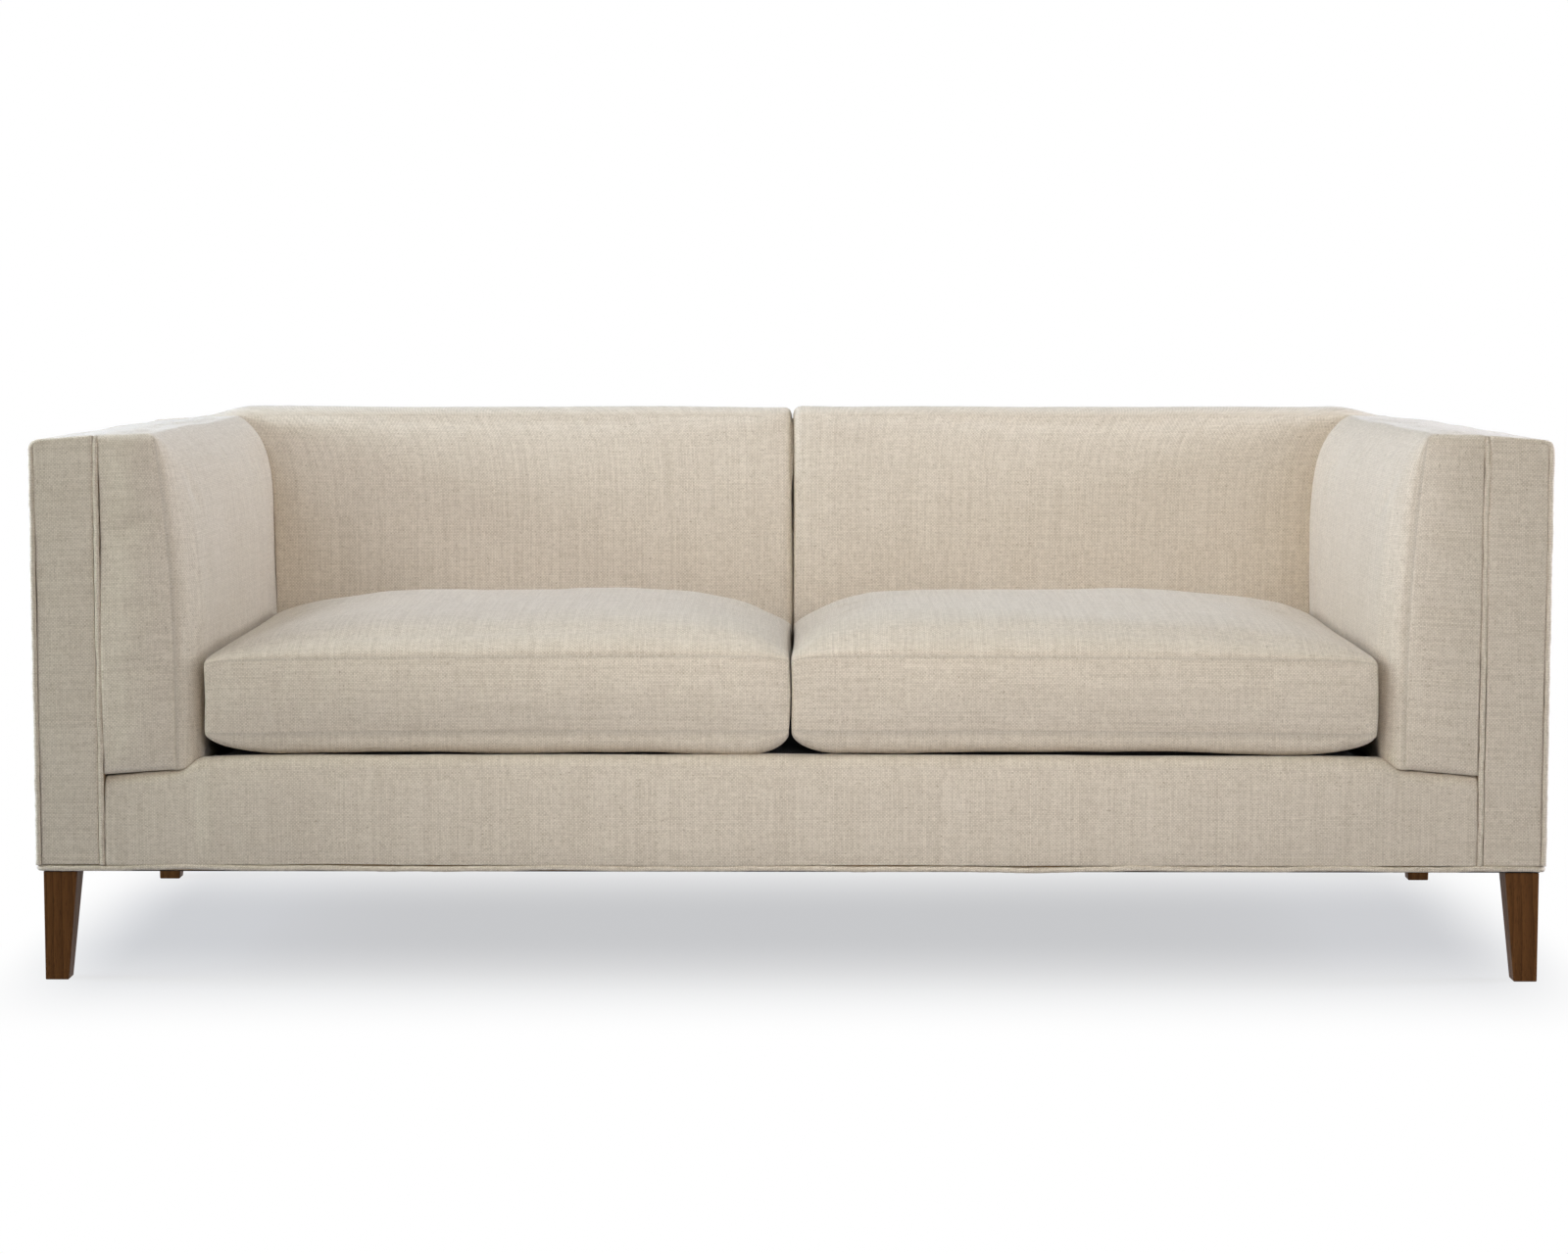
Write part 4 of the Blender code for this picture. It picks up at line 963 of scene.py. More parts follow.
pad_low, pad_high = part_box("right_arm_pad")
back_low, back_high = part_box("right_back_pad")
facing_low, facing_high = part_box("right_arm_facing")
PAD_SIDE = pad_high.x
PAD_FRONT = pad_low.y
PAD_REAR = pad_high.y
PAD_THICKNESS = 0.1067
PAD_CROWN = 0.0295
PAD_FRONT_SWELL = 0.0255
PAD_FRONT_RUN = 0.050
PAD_CREST = pad_high.z + 0.0008
PAD_CREASE_FRONT = 0.768
PAD_CREASE_REAR = 0.770
PAD_LEAN = 0.024
PAD_LEAN_POWERS = (2.6, 6.0)
PAD_SWELL_POWER = 15
PAD_FOOT_INNER = 0.302
PAD_FOOT_OUTER = 0.2935
PAD_FOOT_ROLL = 0.007
PAD_SEAM_ROLL = 0.004
PAD_SEAM_RUN = 0.014
PAD_EDGE = 0.010
PAD_WELT_RUN = 0.008
PAD_WELT_SET = 0.0008
PAD_PILLOW = 0.0025
PAD_FALL = 0.0035
PAD_CORNER_SHARE = 0.12
PAD_TOP_ROUND = 0.16
PAD_TOP_OUTER = facing_high.z + 0.0055
PAD_SWELL_END = back_low.y + 0.008
PAD_TACKED_FROM = 0.72


def pad_way(y):
    """Share of the way from the front of the arm to the back pad."""
    return np.clip((y - PAD_FRONT) / (PAD_SWELL_END - PAD_FRONT), 0.0, 1.0)


def pad_swell(y):
    """How far the inside of the arm stands in from its seam: a broad roll, then a slow swell to the back."""
    slow = (PAD_CROWN - PAD_FRONT_SWELL) * (1.0 - (1.0 - pad_way(y)) ** 2)
    return PAD_FRONT_SWELL * rounded(y - PAD_FRONT - PAD_FALL, PAD_FRONT_RUN) + slow


def pad_crease(y):
    """Z where the inside face ends and the top begins."""
    return PAD_CREASE_FRONT + (PAD_CREASE_REAR - PAD_CREASE_FRONT) * eased(pad_way(y))


def pad_face(y, height):
    """X of the inside face, at a share of its height."""
    swell = pad_swell(y) * (1.0 - height**PAD_SWELL_POWER)
    power = PAD_LEAN_POWERS[0] + (PAD_LEAN_POWERS[1] - PAD_LEAN_POWERS[0]) * pad_way(y)
    return PAD_SIDE - PAD_THICKNESS + PAD_LEAN * height**power - swell


def pad_top(y, across):
    """Z of the top, from its rounded inner edge to the outside panel."""
    crease = pad_crease(y)
    rise = (PAD_CREST - crease) * np.sin(math.pi / 2.0 * np.clip(across / PAD_TOP_ROUND, 0.0, 1.0))
    fall = (PAD_CREST - PAD_TOP_OUTER) * eased((across - PAD_TOP_ROUND) / (1.0 - PAD_TOP_ROUND))
    return crease + rise - fall


def softened(distance, radius):
    """How far a round edge falls away from a face, at a distance from the middle of its turn."""
    left = np.maximum(math.sqrt(0.5) * radius - distance, 0.0)
    return radius - np.sqrt(radius * radius - left * left)


def pad_edge(across):
    """Share of the soft edge, which dies away at the seam with the inside face."""
    return eased(across / PAD_CORNER_SHARE)


PAD_EDGE_SET = float(softened(np.zeros(1), PAD_EDGE)[0])


def pad_ring(number, share, way):
    """The pad's sides from front to back: inside face, top, outside and foot."""
    across = (np.zeros_like(share), share, np.ones_like(share), 1.0 - share)[number]
    front = PAD_FRONT + PAD_FALL * (1.0 - across) ** 2 + PAD_EDGE_SET * pad_edge(across)
    y = front + way * (PAD_REAR - front)
    behind = y - front
    inset = PAD_SEAM_ROLL * (1.0 - rounded(behind, PAD_SEAM_RUN))
    turned = pad_edge(across) * softened(behind, PAD_EDGE)
    edge = pad_face(y, np.ones_like(y)) + inset
    if number == 0:
        z = PAD_FOOT_INNER + share * (pad_crease(y) - PAD_FOOT_INNER)
        foot = PAD_FOOT_ROLL * (1.0 - rounded(z - PAD_FOOT_INNER, PAD_FOOT_ROLL))
        x = pad_face(y, share) + inset + foot
    elif number == 1:
        x = edge + share * (PAD_SIDE - edge)
        z = pad_top(y, share) - turned
    elif number == 2:
        x = np.full_like(y, PAD_SIDE)
        top = pad_top(y, np.ones_like(y)) - turned
        z = top + share * (PAD_FOOT_OUTER + turned - top)
    else:
        inner = pad_face(y, np.zeros_like(y)) + inset + PAD_FOOT_ROLL
        x = PAD_SIDE + share * (inner - PAD_SIDE)
        z = PAD_FOOT_OUTER + turned + share * (PAD_FOOT_INNER - PAD_FOOT_OUTER)
    return np.stack([x, y, z], axis=-1)


pad_height = PAD_CREASE_FRONT - PAD_FOOT_INNER
pad_lengths = (pad_height, PAD_THICKNESS, PAD_REAR - PAD_FRONT)


def pad_boxing(cap, up, across):
    """The boxed front: flat at its seam, soft above and below, rolled in beside the welt."""
    above = pad_edge(across) * softened((1.0 - up) * pad_height, PAD_EDGE)
    below = pad_edge(across) * softened(up * pad_height, PAD_EDGE)
    beside = PAD_WELT_SET * (1.0 - rounded((1.0 - across) * PAD_THICKNESS, PAD_WELT_RUN))
    pillow = PAD_PILLOW * np.sqrt(np.sin(math.pi * up)) * np.sin(math.pi * across)
    rolled = np.maximum(np.maximum(above, below), beside)
    front = PAD_FRONT + PAD_FALL * (1.0 - across) ** 2 + rolled - pillow
    cap[1:-1, 1:-1, 1] = front[1:-1, 1:-1]
    return cap


def mirrored(side, place):
    """A placing function for the right-hand side, or its mirror image for the left."""

    def placed(*shares):
        """The points of one side of the sofa."""
        return place(*shares) * np.array([side, 1.0, 1.0])

    return placed


def mirrored_cap(side, shape):
    """The same for a function that shapes a cap."""

    def placed(cap, a, b):
        """The cap of one side of the sofa."""
        turn = np.array([side, 1.0, 1.0])
        return shape(cap * turn, a, b) * turn

    return placed


EDGE_SHARE = 0.001


def at_edges(*ways):
    """Where a panel lies at either end of the ways given, along its seams."""
    return np.any([(way < EDGE_SHARE) | (way > 1.0 - EDGE_SHARE) for way in ways], axis=0)


def pad_held(number, a, b):
    """The pad's cloth is tacked outside, below and behind, and sewn round the boxed front."""
    if number in (2, 3, 5):
        return np.ones_like(a)
    if number == 4:
        return at_edges(a, b).astype(float)
    tacked = (b < EDGE_SHARE) | (b > PAD_TACKED_FROM)
    tacked |= (a < EDGE_SHARE) if number == 0 else (a > 1.0 - EDGE_SHARE)
    return tacked.astype(float)


for number, (side_name, side) in enumerate(SIDES):
    inside_arm = stuffed(
        f"{side_name}_inside_arm",
        mirrored(side, pad_ring),
        (mirrored_cap(side, pad_boxing), None),
        pad_lengths,
        pad_held,
        pressure=3.0,
        slack=0.006,
        most=0.006,
        seams=((True, False, False, False), NO_SEAMS),
        seed=31 + 10 * number,
        relief=drawn_seams(31 + 10 * number),
    )
    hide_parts(f"{side_name}_arm_pad")


# Back: two tight pads of foam and fibre on the straps, leaning back and rolled over the top rail.
# Each is covered in one cut of linen from seat to rear hem, with soft rounded edges where the halves meet.
BACK_SPLIT = 0.0012
BACK_FOOT = back_low.z
BACK_CROWN = 0.008
BACK_FRONT = back_low.y + BACK_CROWN
BACK_LEAN = 0.045
BACK_TOP = back_high.z - 0.001
BACK_SHOULDER = BACK_TOP - 0.014
BACK_RIDGE = BACK_FRONT + 0.068
BACK_HEM_Y = back_high.y
BACK_HEM_Z = facing_high.z - 0.0015
BACK_EDGE = 0.013
BACK_END_DROP = 0.017
BACK_END_RUN = 0.095
BACK_TUCK = 0.003
BACK_TUCK_RUN = 0.014
BACK_TUCK_POWER = 6
BACK_REAR_LEGS = (0.0, 0.03, 0.12, 1.0)
BACK_OVER_LENGTH = 0.25
BACK_SEARCH = np.linspace(PAD_SIDE - 0.20, PAD_SIDE - 0.0008, 200)
BACK_ARM_WIDTH = 0.12
BACK_HELD_SPLIT = 0.02
BACK_HELD_ARM = 0.985
BACK_HELD_OVER = 0.40
BACK_INTO_ARM = 0.001
BACK_OVER_ARM = 0.0005
RAIL_FRONT = PAD_REAR
RAIL_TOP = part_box("top_back_rail")[1].z + 0.0004


def back_section(number, share, x, inset):
    """Y and Z of the pad's outline at a distance from the middle, drawn in by an inset."""
    drop = BACK_END_DROP * eased((x - PAD_SIDE + BACK_END_RUN) / BACK_END_RUN)
    top = BACK_TOP - drop - inset
    shoulder = BACK_SHOULDER - drop - inset
    bulge = BACK_CROWN * (1.0 - (2.0 * x / PAD_SIDE - 1.0) ** 2)
    front = BACK_FRONT + BACK_LEAN + inset
    if number == 0:
        y = BACK_FRONT + BACK_LEAN * share - bulge * np.sin(math.pi * share) + inset
        z = BACK_FOOT + share * (shoulder - BACK_FOOT)
    elif number == 1:
        turn = math.pi * share
        forward = share < 0.5
        half = np.where(forward, BACK_RIDGE - front, BACK_HEM_Y - BACK_RIDGE)
        y = BACK_RIDGE - half * np.cos(turn)
        low = np.where(forward, shoulder, BACK_HEM_Z)
        z = low + (top - low) * np.sin(turn)
    elif number == 2:
        y = np.interp(share, BACK_REAR_LEGS, (BACK_HEM_Y, BACK_HEM_Y, RAIL_FRONT, RAIL_FRONT))
        z = np.interp(share, BACK_REAR_LEGS, (BACK_HEM_Z, RAIL_TOP, RAIL_TOP, BACK_FOOT))
    else:
        y = RAIL_FRONT + share * (BACK_FRONT + inset - RAIL_FRONT)
        z = np.full_like(y, BACK_FOOT)
    return y, z


def back_reach(number, share):
    """How far each line of the pad runs out before it meets the inside arm."""
    x = BACK_SEARCH[None, :]
    y, z = back_section(number, share[:, None] + 0.0 * x, x + 0.0 * share[:, None], 0.0)
    height = np.clip((z - PAD_FOOT_INNER) / (pad_crease(y) - PAD_FOOT_INNER), 0.0, 1.0)
    edge = pad_face(y, np.ones_like(y))
    top = pad_top(y, np.clip((x - edge) / (PAD_SIDE - edge), 0.0, 1.0))
    inside = (x > pad_face(y, height) - BACK_INTO_ARM) & (z < top + BACK_OVER_ARM)
    inside &= y < PAD_REAR + BACK_INTO_ARM
    first = np.where(inside.any(axis=1), inside.argmax(axis=1), x.shape[1] - 1)
    return x[0, first]


def back_ring(number, share, way):
    """The pad's sides from the split to the arm: face, roll, rear and foot."""
    reach = back_reach(number, share[:, 0])[:, None]
    x = BACK_SPLIT + way * (reach - BACK_SPLIT)
    inset = BACK_EDGE * (1.0 - rounded(x - BACK_SPLIT, BACK_EDGE))
    if number == 0:
        tuck = BACK_TUCK * (1.0 - rounded(reach - x, BACK_TUCK_RUN))
        inset = inset + tuck * (1.0 - share**BACK_TUCK_POWER)
    y, z = back_section(number, share, x, inset)
    return np.stack([x, y, z], axis=-1)


back_lengths = (BACK_SHOULDER - BACK_FOOT, BACK_OVER_LENGTH, PAD_SIDE - BACK_ARM_WIDTH)


def back_held(number, a, b):
    """The cover is tacked behind and below, and held at the split and in the crease with the arm."""
    if number in (2, 3, 4, 5):
        return np.ones_like(a)
    held = (b < BACK_HELD_SPLIT) | (b > BACK_HELD_ARM)
    held |= (a < EDGE_SHARE) if number == 0 else (a > BACK_HELD_OVER)
    return held.astype(float)


for number, (side_name, side) in enumerate(SIDES):
    tight_back = stuffed(
        f"{side_name}_tight_back",
        mirrored(side, back_ring),
        (None, None),
        back_lengths,
        back_held,
        pressure=2.5,
        slack=0.004,
        most=0.005,
        seams=(NO_SEAMS, NO_SEAMS),
        seed=61 + 10 * number,
        relief=drawn_seams(61 + 10 * number, lump=0.0006),
    )
    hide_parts(f"{side_name}_back_pad")


# Front border: linen over wadding on the front rail, rolled over a firm edge at the front of the deck.
# Its ends run under the inside arms, which press its roll down.
border_low, border_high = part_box("front_border")
BORDER_FRONT = border_low.y
BORDER_BACK = border_high.y
BORDER_FOOT = border_low.z
BORDER_TOP = border_high.z - 0.0034
BORDER_DIP = 0.0040
BORDER_END = border_high.x
BORDER_ROLL = 0.017
BORDER_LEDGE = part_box("front_seat_rail")[1].z + 0.0046
RAIL_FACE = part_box("front_seat_rail")[0].y - 0.0003
BORDER_LEAST = 0.003
BORDER_PLUMP = 0.0015
BORDER_PLUMP_FROM = 0.1
BORDER_TURN_SHARE = 0.6
BORDER_REAR_TURNS = (0.3, 0.5)
BORDER_END_ROLL = 0.003
BORDER_END_RUN = 0.008
BORDER_FOOT_RUN = 0.009
BORDER_OVER_LENGTH = 0.05
BORDER_UNDER = 0.0012
BORDER_HELD_ENDS = 0.86
BORDER_HELD_OVER = 0.30
BORDER_TUCK = 0.0015
PRESS_FROM = 0.830
PRESS_TO = 0.868


def border_top(x):
    """Height of the rolled edge: level in the middle, pressed down under the inside arms."""
    out = np.abs(x)
    outward = np.clip((out - PRESS_TO) / (BORDER_END - PRESS_TO), 0.0, 1.0)
    sunk = PAD_FOOT_INNER - BORDER_UNDER + (PAD_FOOT_OUTER - PAD_FOOT_INNER) * outward
    level = BORDER_TOP - BORDER_DIP * (out / PRESS_FROM) ** 3
    return level + (sunk - level) * eased((out - PRESS_FROM) / (PRESS_TO - PRESS_FROM))


def border_ring(number, share, way):
    """The border's sides from end to end: face, rolled top, rear and foot."""
    x = -BORDER_END + way * 2.0 * BORDER_END
    top = border_top(x)
    end_roll = BORDER_END_ROLL * (1.0 - rounded(BORDER_END - np.abs(x), BORDER_END_RUN))
    front = BORDER_FRONT + end_roll
    if number == 0:
        z = BORDER_FOOT + share * (top - BORDER_ROLL - BORDER_FOOT)
        up = share * (1.0 - BORDER_PLUMP_FROM) + BORDER_PLUMP_FROM
        plump = BORDER_PLUMP * np.sin(math.pi * np.clip(up, 0.0, 1.0))
        y = front - plump + BORDER_TUCK * (1.0 - rounded(z - BORDER_FOOT, BORDER_FOOT_RUN))
    elif number == 1:
        turn = np.clip(share / BORDER_TURN_SHARE, 0.0, 1.0) * math.pi / 2.0
        flat = np.clip((share - BORDER_TURN_SHARE) / (1.0 - BORDER_TURN_SHARE), 0.0, 1.0)
        y = front + BORDER_ROLL * (1.0 - np.cos(turn))
        y = y + flat * (BORDER_BACK - front - BORDER_ROLL)
        z = top - BORDER_ROLL * (1.0 - np.sin(turn))
    elif number == 2:
        inward, down = BORDER_REAR_TURNS
        y = np.interp(share, (0.0, inward, down, 1.0), (BORDER_BACK, BORDER_BACK, RAIL_FACE, RAIL_FACE))
        ledge = np.minimum(top - BORDER_LEAST, BORDER_LEDGE)
        z = np.where(share < inward, top + (ledge - top) * share / inward, ledge)
        z = np.where(share > down, ledge + (BORDER_FOOT - ledge) * (share - down) / (1.0 - down), z)
    else:
        plump = BORDER_PLUMP * math.sin(math.pi * BORDER_PLUMP_FROM)
        y = RAIL_FACE + share * (front + BORDER_TUCK - RAIL_FACE - plump)
        z = np.full_like(y, BORDER_FOOT)
    return np.stack([x, y, z], axis=-1)


border_lengths = (BORDER_TOP - BORDER_FOOT, BORDER_OVER_LENGTH, 2.0 * BORDER_END)


def border_held(number, a, b):
    """The border is tacked to the rail below and behind, and held at its ends."""
    if number > 1:
        return np.ones_like(a)
    held = np.abs(2.0 * b - 1.0) > BORDER_HELD_ENDS
    held |= (a < EDGE_SHARE) if number == 0 else (a > BORDER_HELD_OVER)
    return held.astype(float)


front_border = stuffed(
    "linen_front_border",
    border_ring,
    (None, None),
    border_lengths,
    border_held,
    pressure=2.0,
    slack=0.004,
    most=0.003,
    seams=(NO_SEAMS, NO_SEAMS),
    seed=91,
    relief=drawn_seams(91, lump=0.0007),
)
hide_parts("front_border")


# Outside arms: linen over thin wadding, pulled down the outside of each arm and back over its top.
# The cloth is tacked under the rail, sewn to the welt in front and turned round the corner behind.
panel_low, panel_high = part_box("right_outside_arm")
PANEL_THICKNESS = 0.005
PANEL_CORNER = 0.010
PANEL_PLUMP = 0.0012
PANEL_TUCK = 0.0018
PANEL_TUCK_RUN = 0.010
PANEL_TOP_TUCK_RUN = 0.006
PANEL_LUMP = 0.0005
PANEL_STEP = 0.012
PANEL_WAYS = np.array([0.0, 0.5, 1.0])
ARM_TOP_LIFT = (0.0055, 0.0030)
ARM_TOP_FALL = (0.0070, 0.0072)
panel_rise = panel_high.z - PANEL_CORNER - panel_low.z
panel_turn = PANEL_CORNER * math.pi / 2.0
panel_over = panel_high.x - PANEL_CORNER - panel_low.x
panel_path = panel_rise + panel_turn + panel_over


def arm_top_slope(x, y):
    """How far the arm's top stands above or below its height at a place: it falls to its outer edge."""
    back = eased((y - panel_low.y) / (panel_high.y - panel_low.y))
    out = np.clip((np.abs(x) - panel_low.x) / (panel_high.x - panel_low.x), 0.0, 1.0)
    lift = ARM_TOP_LIFT[0] + (ARM_TOP_LIFT[1] - ARM_TOP_LIFT[0]) * back
    fall = ARM_TOP_FALL[0] + (ARM_TOP_FALL[1] - ARM_TOP_FALL[0]) * back
    return lift - fall * out


def panel_outline(run, depth, y):
    """X and Z up the outside, round the top edge and over the top, at a depth below the surface."""
    up = np.minimum(run, panel_rise)
    turn = np.clip((run - panel_rise) / panel_turn, 0.0, 1.0) * math.pi / 2.0
    over = np.maximum(run - panel_rise - panel_turn, 0.0)
    x = panel_high.x - PANEL_CORNER + (PANEL_CORNER - depth) * np.cos(turn) - over
    z = panel_low.z + up + (PANEL_CORNER - depth) * np.sin(turn)
    return x, z + up / panel_rise * arm_top_slope(x, y)


def outside_ring(number, share, way):
    """The panel's sides from front to back: face, inner edge, lining and foot."""
    y = panel_low.y + way * (panel_high.y - panel_low.y)
    run = (share, np.ones_like(share), 1.0 - share, np.zeros_like(share))[number] * panel_path
    ends = rounded(y - panel_low.y, PANEL_TUCK_RUN) * rounded(panel_high.y - y, PANEL_TUCK_RUN)
    ends = ends * rounded(run, PANEL_TUCK_RUN) * rounded(panel_path - run, PANEL_TOP_TUCK_RUN)
    plump = PANEL_PLUMP * np.sin(math.pi * np.clip(run / panel_rise, 0.0, 1.0))
    outer = PANEL_TUCK * (1.0 - ends) - plump
    inner = np.full_like(outer, PANEL_THICKNESS)
    depths = (outer, outer + share * (inner - outer), inner, inner + share * (outer - inner))
    x, z = panel_outline(run, depths[number], y)
    return np.stack([x, y, z], axis=-1)


def add_panel(name, node, panels, seed):
    """A thin wadded panel in linen, fixed to the frame."""
    piece = upholstered(name, panels, linen, seed, relief=drawn_seams(seed, lump=PANEL_LUMP))
    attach(piece, "sofa_frame")
    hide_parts(node)


outside_around = (stations(panel_path, PANEL_STEP), PANEL_WAYS)
outside_along = stations(panel_high.y - panel_low.y, PANEL_STEP)
for number, (side_name, side) in enumerate(SIDES):
    outside_panels = boxed(mirrored(side, outside_ring), outside_around, outside_along)
    add_panel(f"{side_name}_outside_linen", f"{side_name}_outside_arm", outside_panels, 101 + number)


# Arm facings and outside back: flat wadded panels in linen, tacked round their edges over the frame.
# The facings stand between two welts, and the outside back closes the sofa behind.
FACE_EDGE = 0.0012
FACE_ROLL = 0.0040
FACE_PLUMP = 0.0010
FACE_SLOPE_FROM = 0.90
FACE_SLOPE_RUN = 0.07
FACING_CORNER = 0.007
FACING_STEP = 0.010
REAR_STEP = 0.014


def corner_share(past_x, past_z):
    """Where places lie past the start of a rounded corner, and what share of their way out they keep."""
    both = (past_x > 0) & (past_z > 0)
    far = np.maximum(np.hypot(past_x, past_z), 1e-9)
    return both, np.where(both, np.maximum(past_x, past_z) / far, 1.0)


def face_ring(low, high, corner, outward):
    """The outline of a flat upright panel, from its face to its back, with rounded top corners."""

    def ring(number, share, way):
        """Places on one of the panel's four edges, which follow the slope of the arms' tops."""
        corners_x = (low.x, low.x, high.x, high.x, low.x)
        corners_z = (low.z, high.z, high.z, low.z, low.z)
        x = corners_x[number] + share * (corners_x[number + 1] - corners_x[number])
        z = corners_z[number] + share * (corners_z[number + 1] - corners_z[number])
        for edge, radius, away in ((low.x, corner[0], -1.0), (high.x, corner[1], 1.0)):
            if radius == 0.0:
                continue
            centre = edge - away * radius
            past_x = np.maximum((x - centre) * away, 0.0) / radius
            past_z = np.maximum(z - (high.z - radius), 0.0) / radius
            both, scale = corner_share(past_x, past_z)
            x = np.where(both, centre + away * radius * past_x * scale, x)
            z = np.where(both, high.z - radius + radius * past_z * scale, z)
        over_arm = eased((np.abs(x) - FACE_SLOPE_FROM) / FACE_SLOPE_RUN)
        z = z + (z - low.z) / (high.z - low.z) * arm_top_slope(x, low.y) * over_arm
        front = (low.y + FACE_EDGE, high.y) if outward < 0 else (high.y - FACE_EDGE, low.y)
        y = front[0] + way * (front[1] - front[0])
        return np.stack([x, y, z], axis=-1)

    return ring


def face_cap(low, high, outward):
    """The panel's face, rolled in at its edges and a little plump between them."""
    wide, tall = high.x - low.x, high.z - low.z

    def shape(cap, up, across):
        """Brings the middle of the face out from its edges."""
        roll = rounded(up * tall, FACE_ROLL) * rounded((1.0 - up) * tall, FACE_ROLL)
        roll *= rounded(across * wide, FACE_ROLL) * rounded((1.0 - across) * wide, FACE_ROLL)
        plump = FACE_PLUMP * np.sin(math.pi * across) * np.sin(math.pi * up) ** 0.5
        cap[..., 1] += outward * (FACE_EDGE * roll + plump)
        return cap

    return shape


facing_size = facing_high - facing_low
facing_around = (stations(facing_size.z, FACING_STEP), stations(facing_size.x, FACING_STEP))
for number, (side_name, side) in enumerate(SIDES):
    ring = mirrored(side, face_ring(facing_low, facing_high, (0.0, FACING_CORNER), -1.0))
    cap = mirrored_cap(side, face_cap(facing_low, facing_high, -1.0))
    facing_panels = boxed(ring, facing_around, PANEL_WAYS, (cap, None))
    add_panel(f"{side_name}_facing_linen", f"{side_name}_arm_facing", facing_panels, 111 + number)

rear_low, rear_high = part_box("outside_back")
rear_size = rear_high - rear_low
rear_around = (stations(rear_size.z, REAR_STEP), stations(rear_size.x, REAR_STEP))
rear_ring = face_ring(rear_low, rear_high, (PANEL_CORNER, PANEL_CORNER), 1.0)
rear_cap = face_cap(rear_low, rear_high, 1.0)
rear_panels = boxed(rear_ring, rear_around, PANEL_WAYS, (rear_cap, None))
add_panel("outside_back_linen", "outside_back", rear_panels, 121)


# Welts: piping cord in bias-cut linen, sewn up both edges of each facing and right round the base.
# The outer welts turn over the top corner and die into the seam along the top edge.
WELT_RADIUS = 0.004
WELT_STEP = 0.004
WELT_SIDES = 16
WELT_WANDER = (0.00025, 0.05)
WELT_UNEVEN = (0.035, 0.012)
WELT_CUT = 0.37
TURN_STEPS = 10
welt_low, welt_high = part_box("right_outer_welt")
base_low, base_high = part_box("base_welt")
WELT_FOOT = welt_low.z
WELT_Y = welt_low.y + WELT_RADIUS
WELT_CORNER = 0.014
WELT_TAIL = 0.060
WELT_TAIL_RADIUS = 0.0012
INNER_WELT_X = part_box("right_inner_welt")[0].x + WELT_RADIUS
INNER_OVER = 0.028
INNER_TURN = 0.008
INNER_DROP = 0.003
BASE_TURN = WELT_RADIUS + 0.0006
BASE_WAVE = (0.0007, 0.24)


def spaced_path(points, step):
    """Points a step apart along a path of straight runs and arcs."""
    path = np.array(points, float)
    run = np.concatenate([[0.0], np.cumsum(np.linalg.norm(np.diff(path, axis=0), axis=1))])
    even = np.linspace(0.0, run[-1], max(2, round(run[-1] / step) + 1))
    return np.stack([np.interp(even, run, path[:, axis]) for axis in range(3)], axis=1), even


def turn_points(centre, radius, start, end):
    """Points round part of a circle in a plane, between two angles in degrees."""
    angles = np.radians(np.linspace(start, end, TURN_STEPS))
    return [(centre[0] + radius * math.cos(a), centre[1] + radius * math.sin(a)) for a in angles]


def welt_mesh(name, path, run, radii, closed, seed):
    """A round cord along a path, its bias-cut cover slightly uneven."""
    ahead = np.roll(path, -1, axis=0) - np.roll(path, 1, axis=0)
    if not closed:
        ahead[0], ahead[-1] = path[1] - path[0], path[-1] - path[-2]
    ahead /= np.linalg.norm(ahead, axis=1, keepdims=True)
    wander = np.stack([ripples(path, WELT_WANDER[1], seed + axis) for axis in range(3)], axis=1)
    middle = path + WELT_WANDER[0] * wander
    flat = np.abs(ahead[:, 2]) < 0.9 if closed else np.zeros(len(path), bool)
    hint = np.where(flat[:, None], np.array([0.0, 0.0, 1.0]), np.array([0.0, -1.0, 0.0]))
    hint = np.where(np.abs((hint * ahead).sum(axis=1, keepdims=True)) > 0.8, np.array([0.0, 0.0, 1.0]), hint)
    over = hint - (hint * ahead).sum(axis=1, keepdims=True) * ahead
    over /= np.linalg.norm(over, axis=1, keepdims=True)
    aside = np.cross(ahead, over)
    angles = np.linspace(0.0, 2.0 * math.pi, WELT_SIDES + 1)
    spokes = np.cos(angles)[None, :, None] * over[:, None] + np.sin(angles)[None, :, None] * aside[:, None]
    skin = middle[:, None] + radii[:, None, None] * spokes
    uneven = ripples(skin.reshape(-1, 3), WELT_UNEVEN[1], seed + 5).reshape(skin.shape[:2])
    uneven = 1.0 + WELT_UNEVEN[0] * uneven
    skin = middle[:, None] + (radii[:, None] * uneven)[..., None] * spokes
    skin[:, -1] = skin[:, 0]
    if closed:
        skin = np.concatenate([skin, skin[:1]])
        run = np.concatenate([run, run[-1:] + WELT_STEP])
    around = angles * WELT_RADIUS
    along, round_it = np.meshgrid(run, around, indexing="ij")
    bias = np.stack([along + round_it, along - round_it], axis=-1) / math.sqrt(2.0) + seed * WELT_CUT
    points, numbers = welded([skin])
    ends = [] if closed else [numbers[0][0, :-1][::-1].tolist(), numbers[0][-1, :-1].tolist()]
    end_places = np.full((sum(len(end) for end in ends), 2), seed * WELT_CUT)
    places = np.concatenate([quads(bias).reshape(-1, 2), end_places])
    return mesh_of(name, points, quads(numbers[0]).tolist() + ends, places)


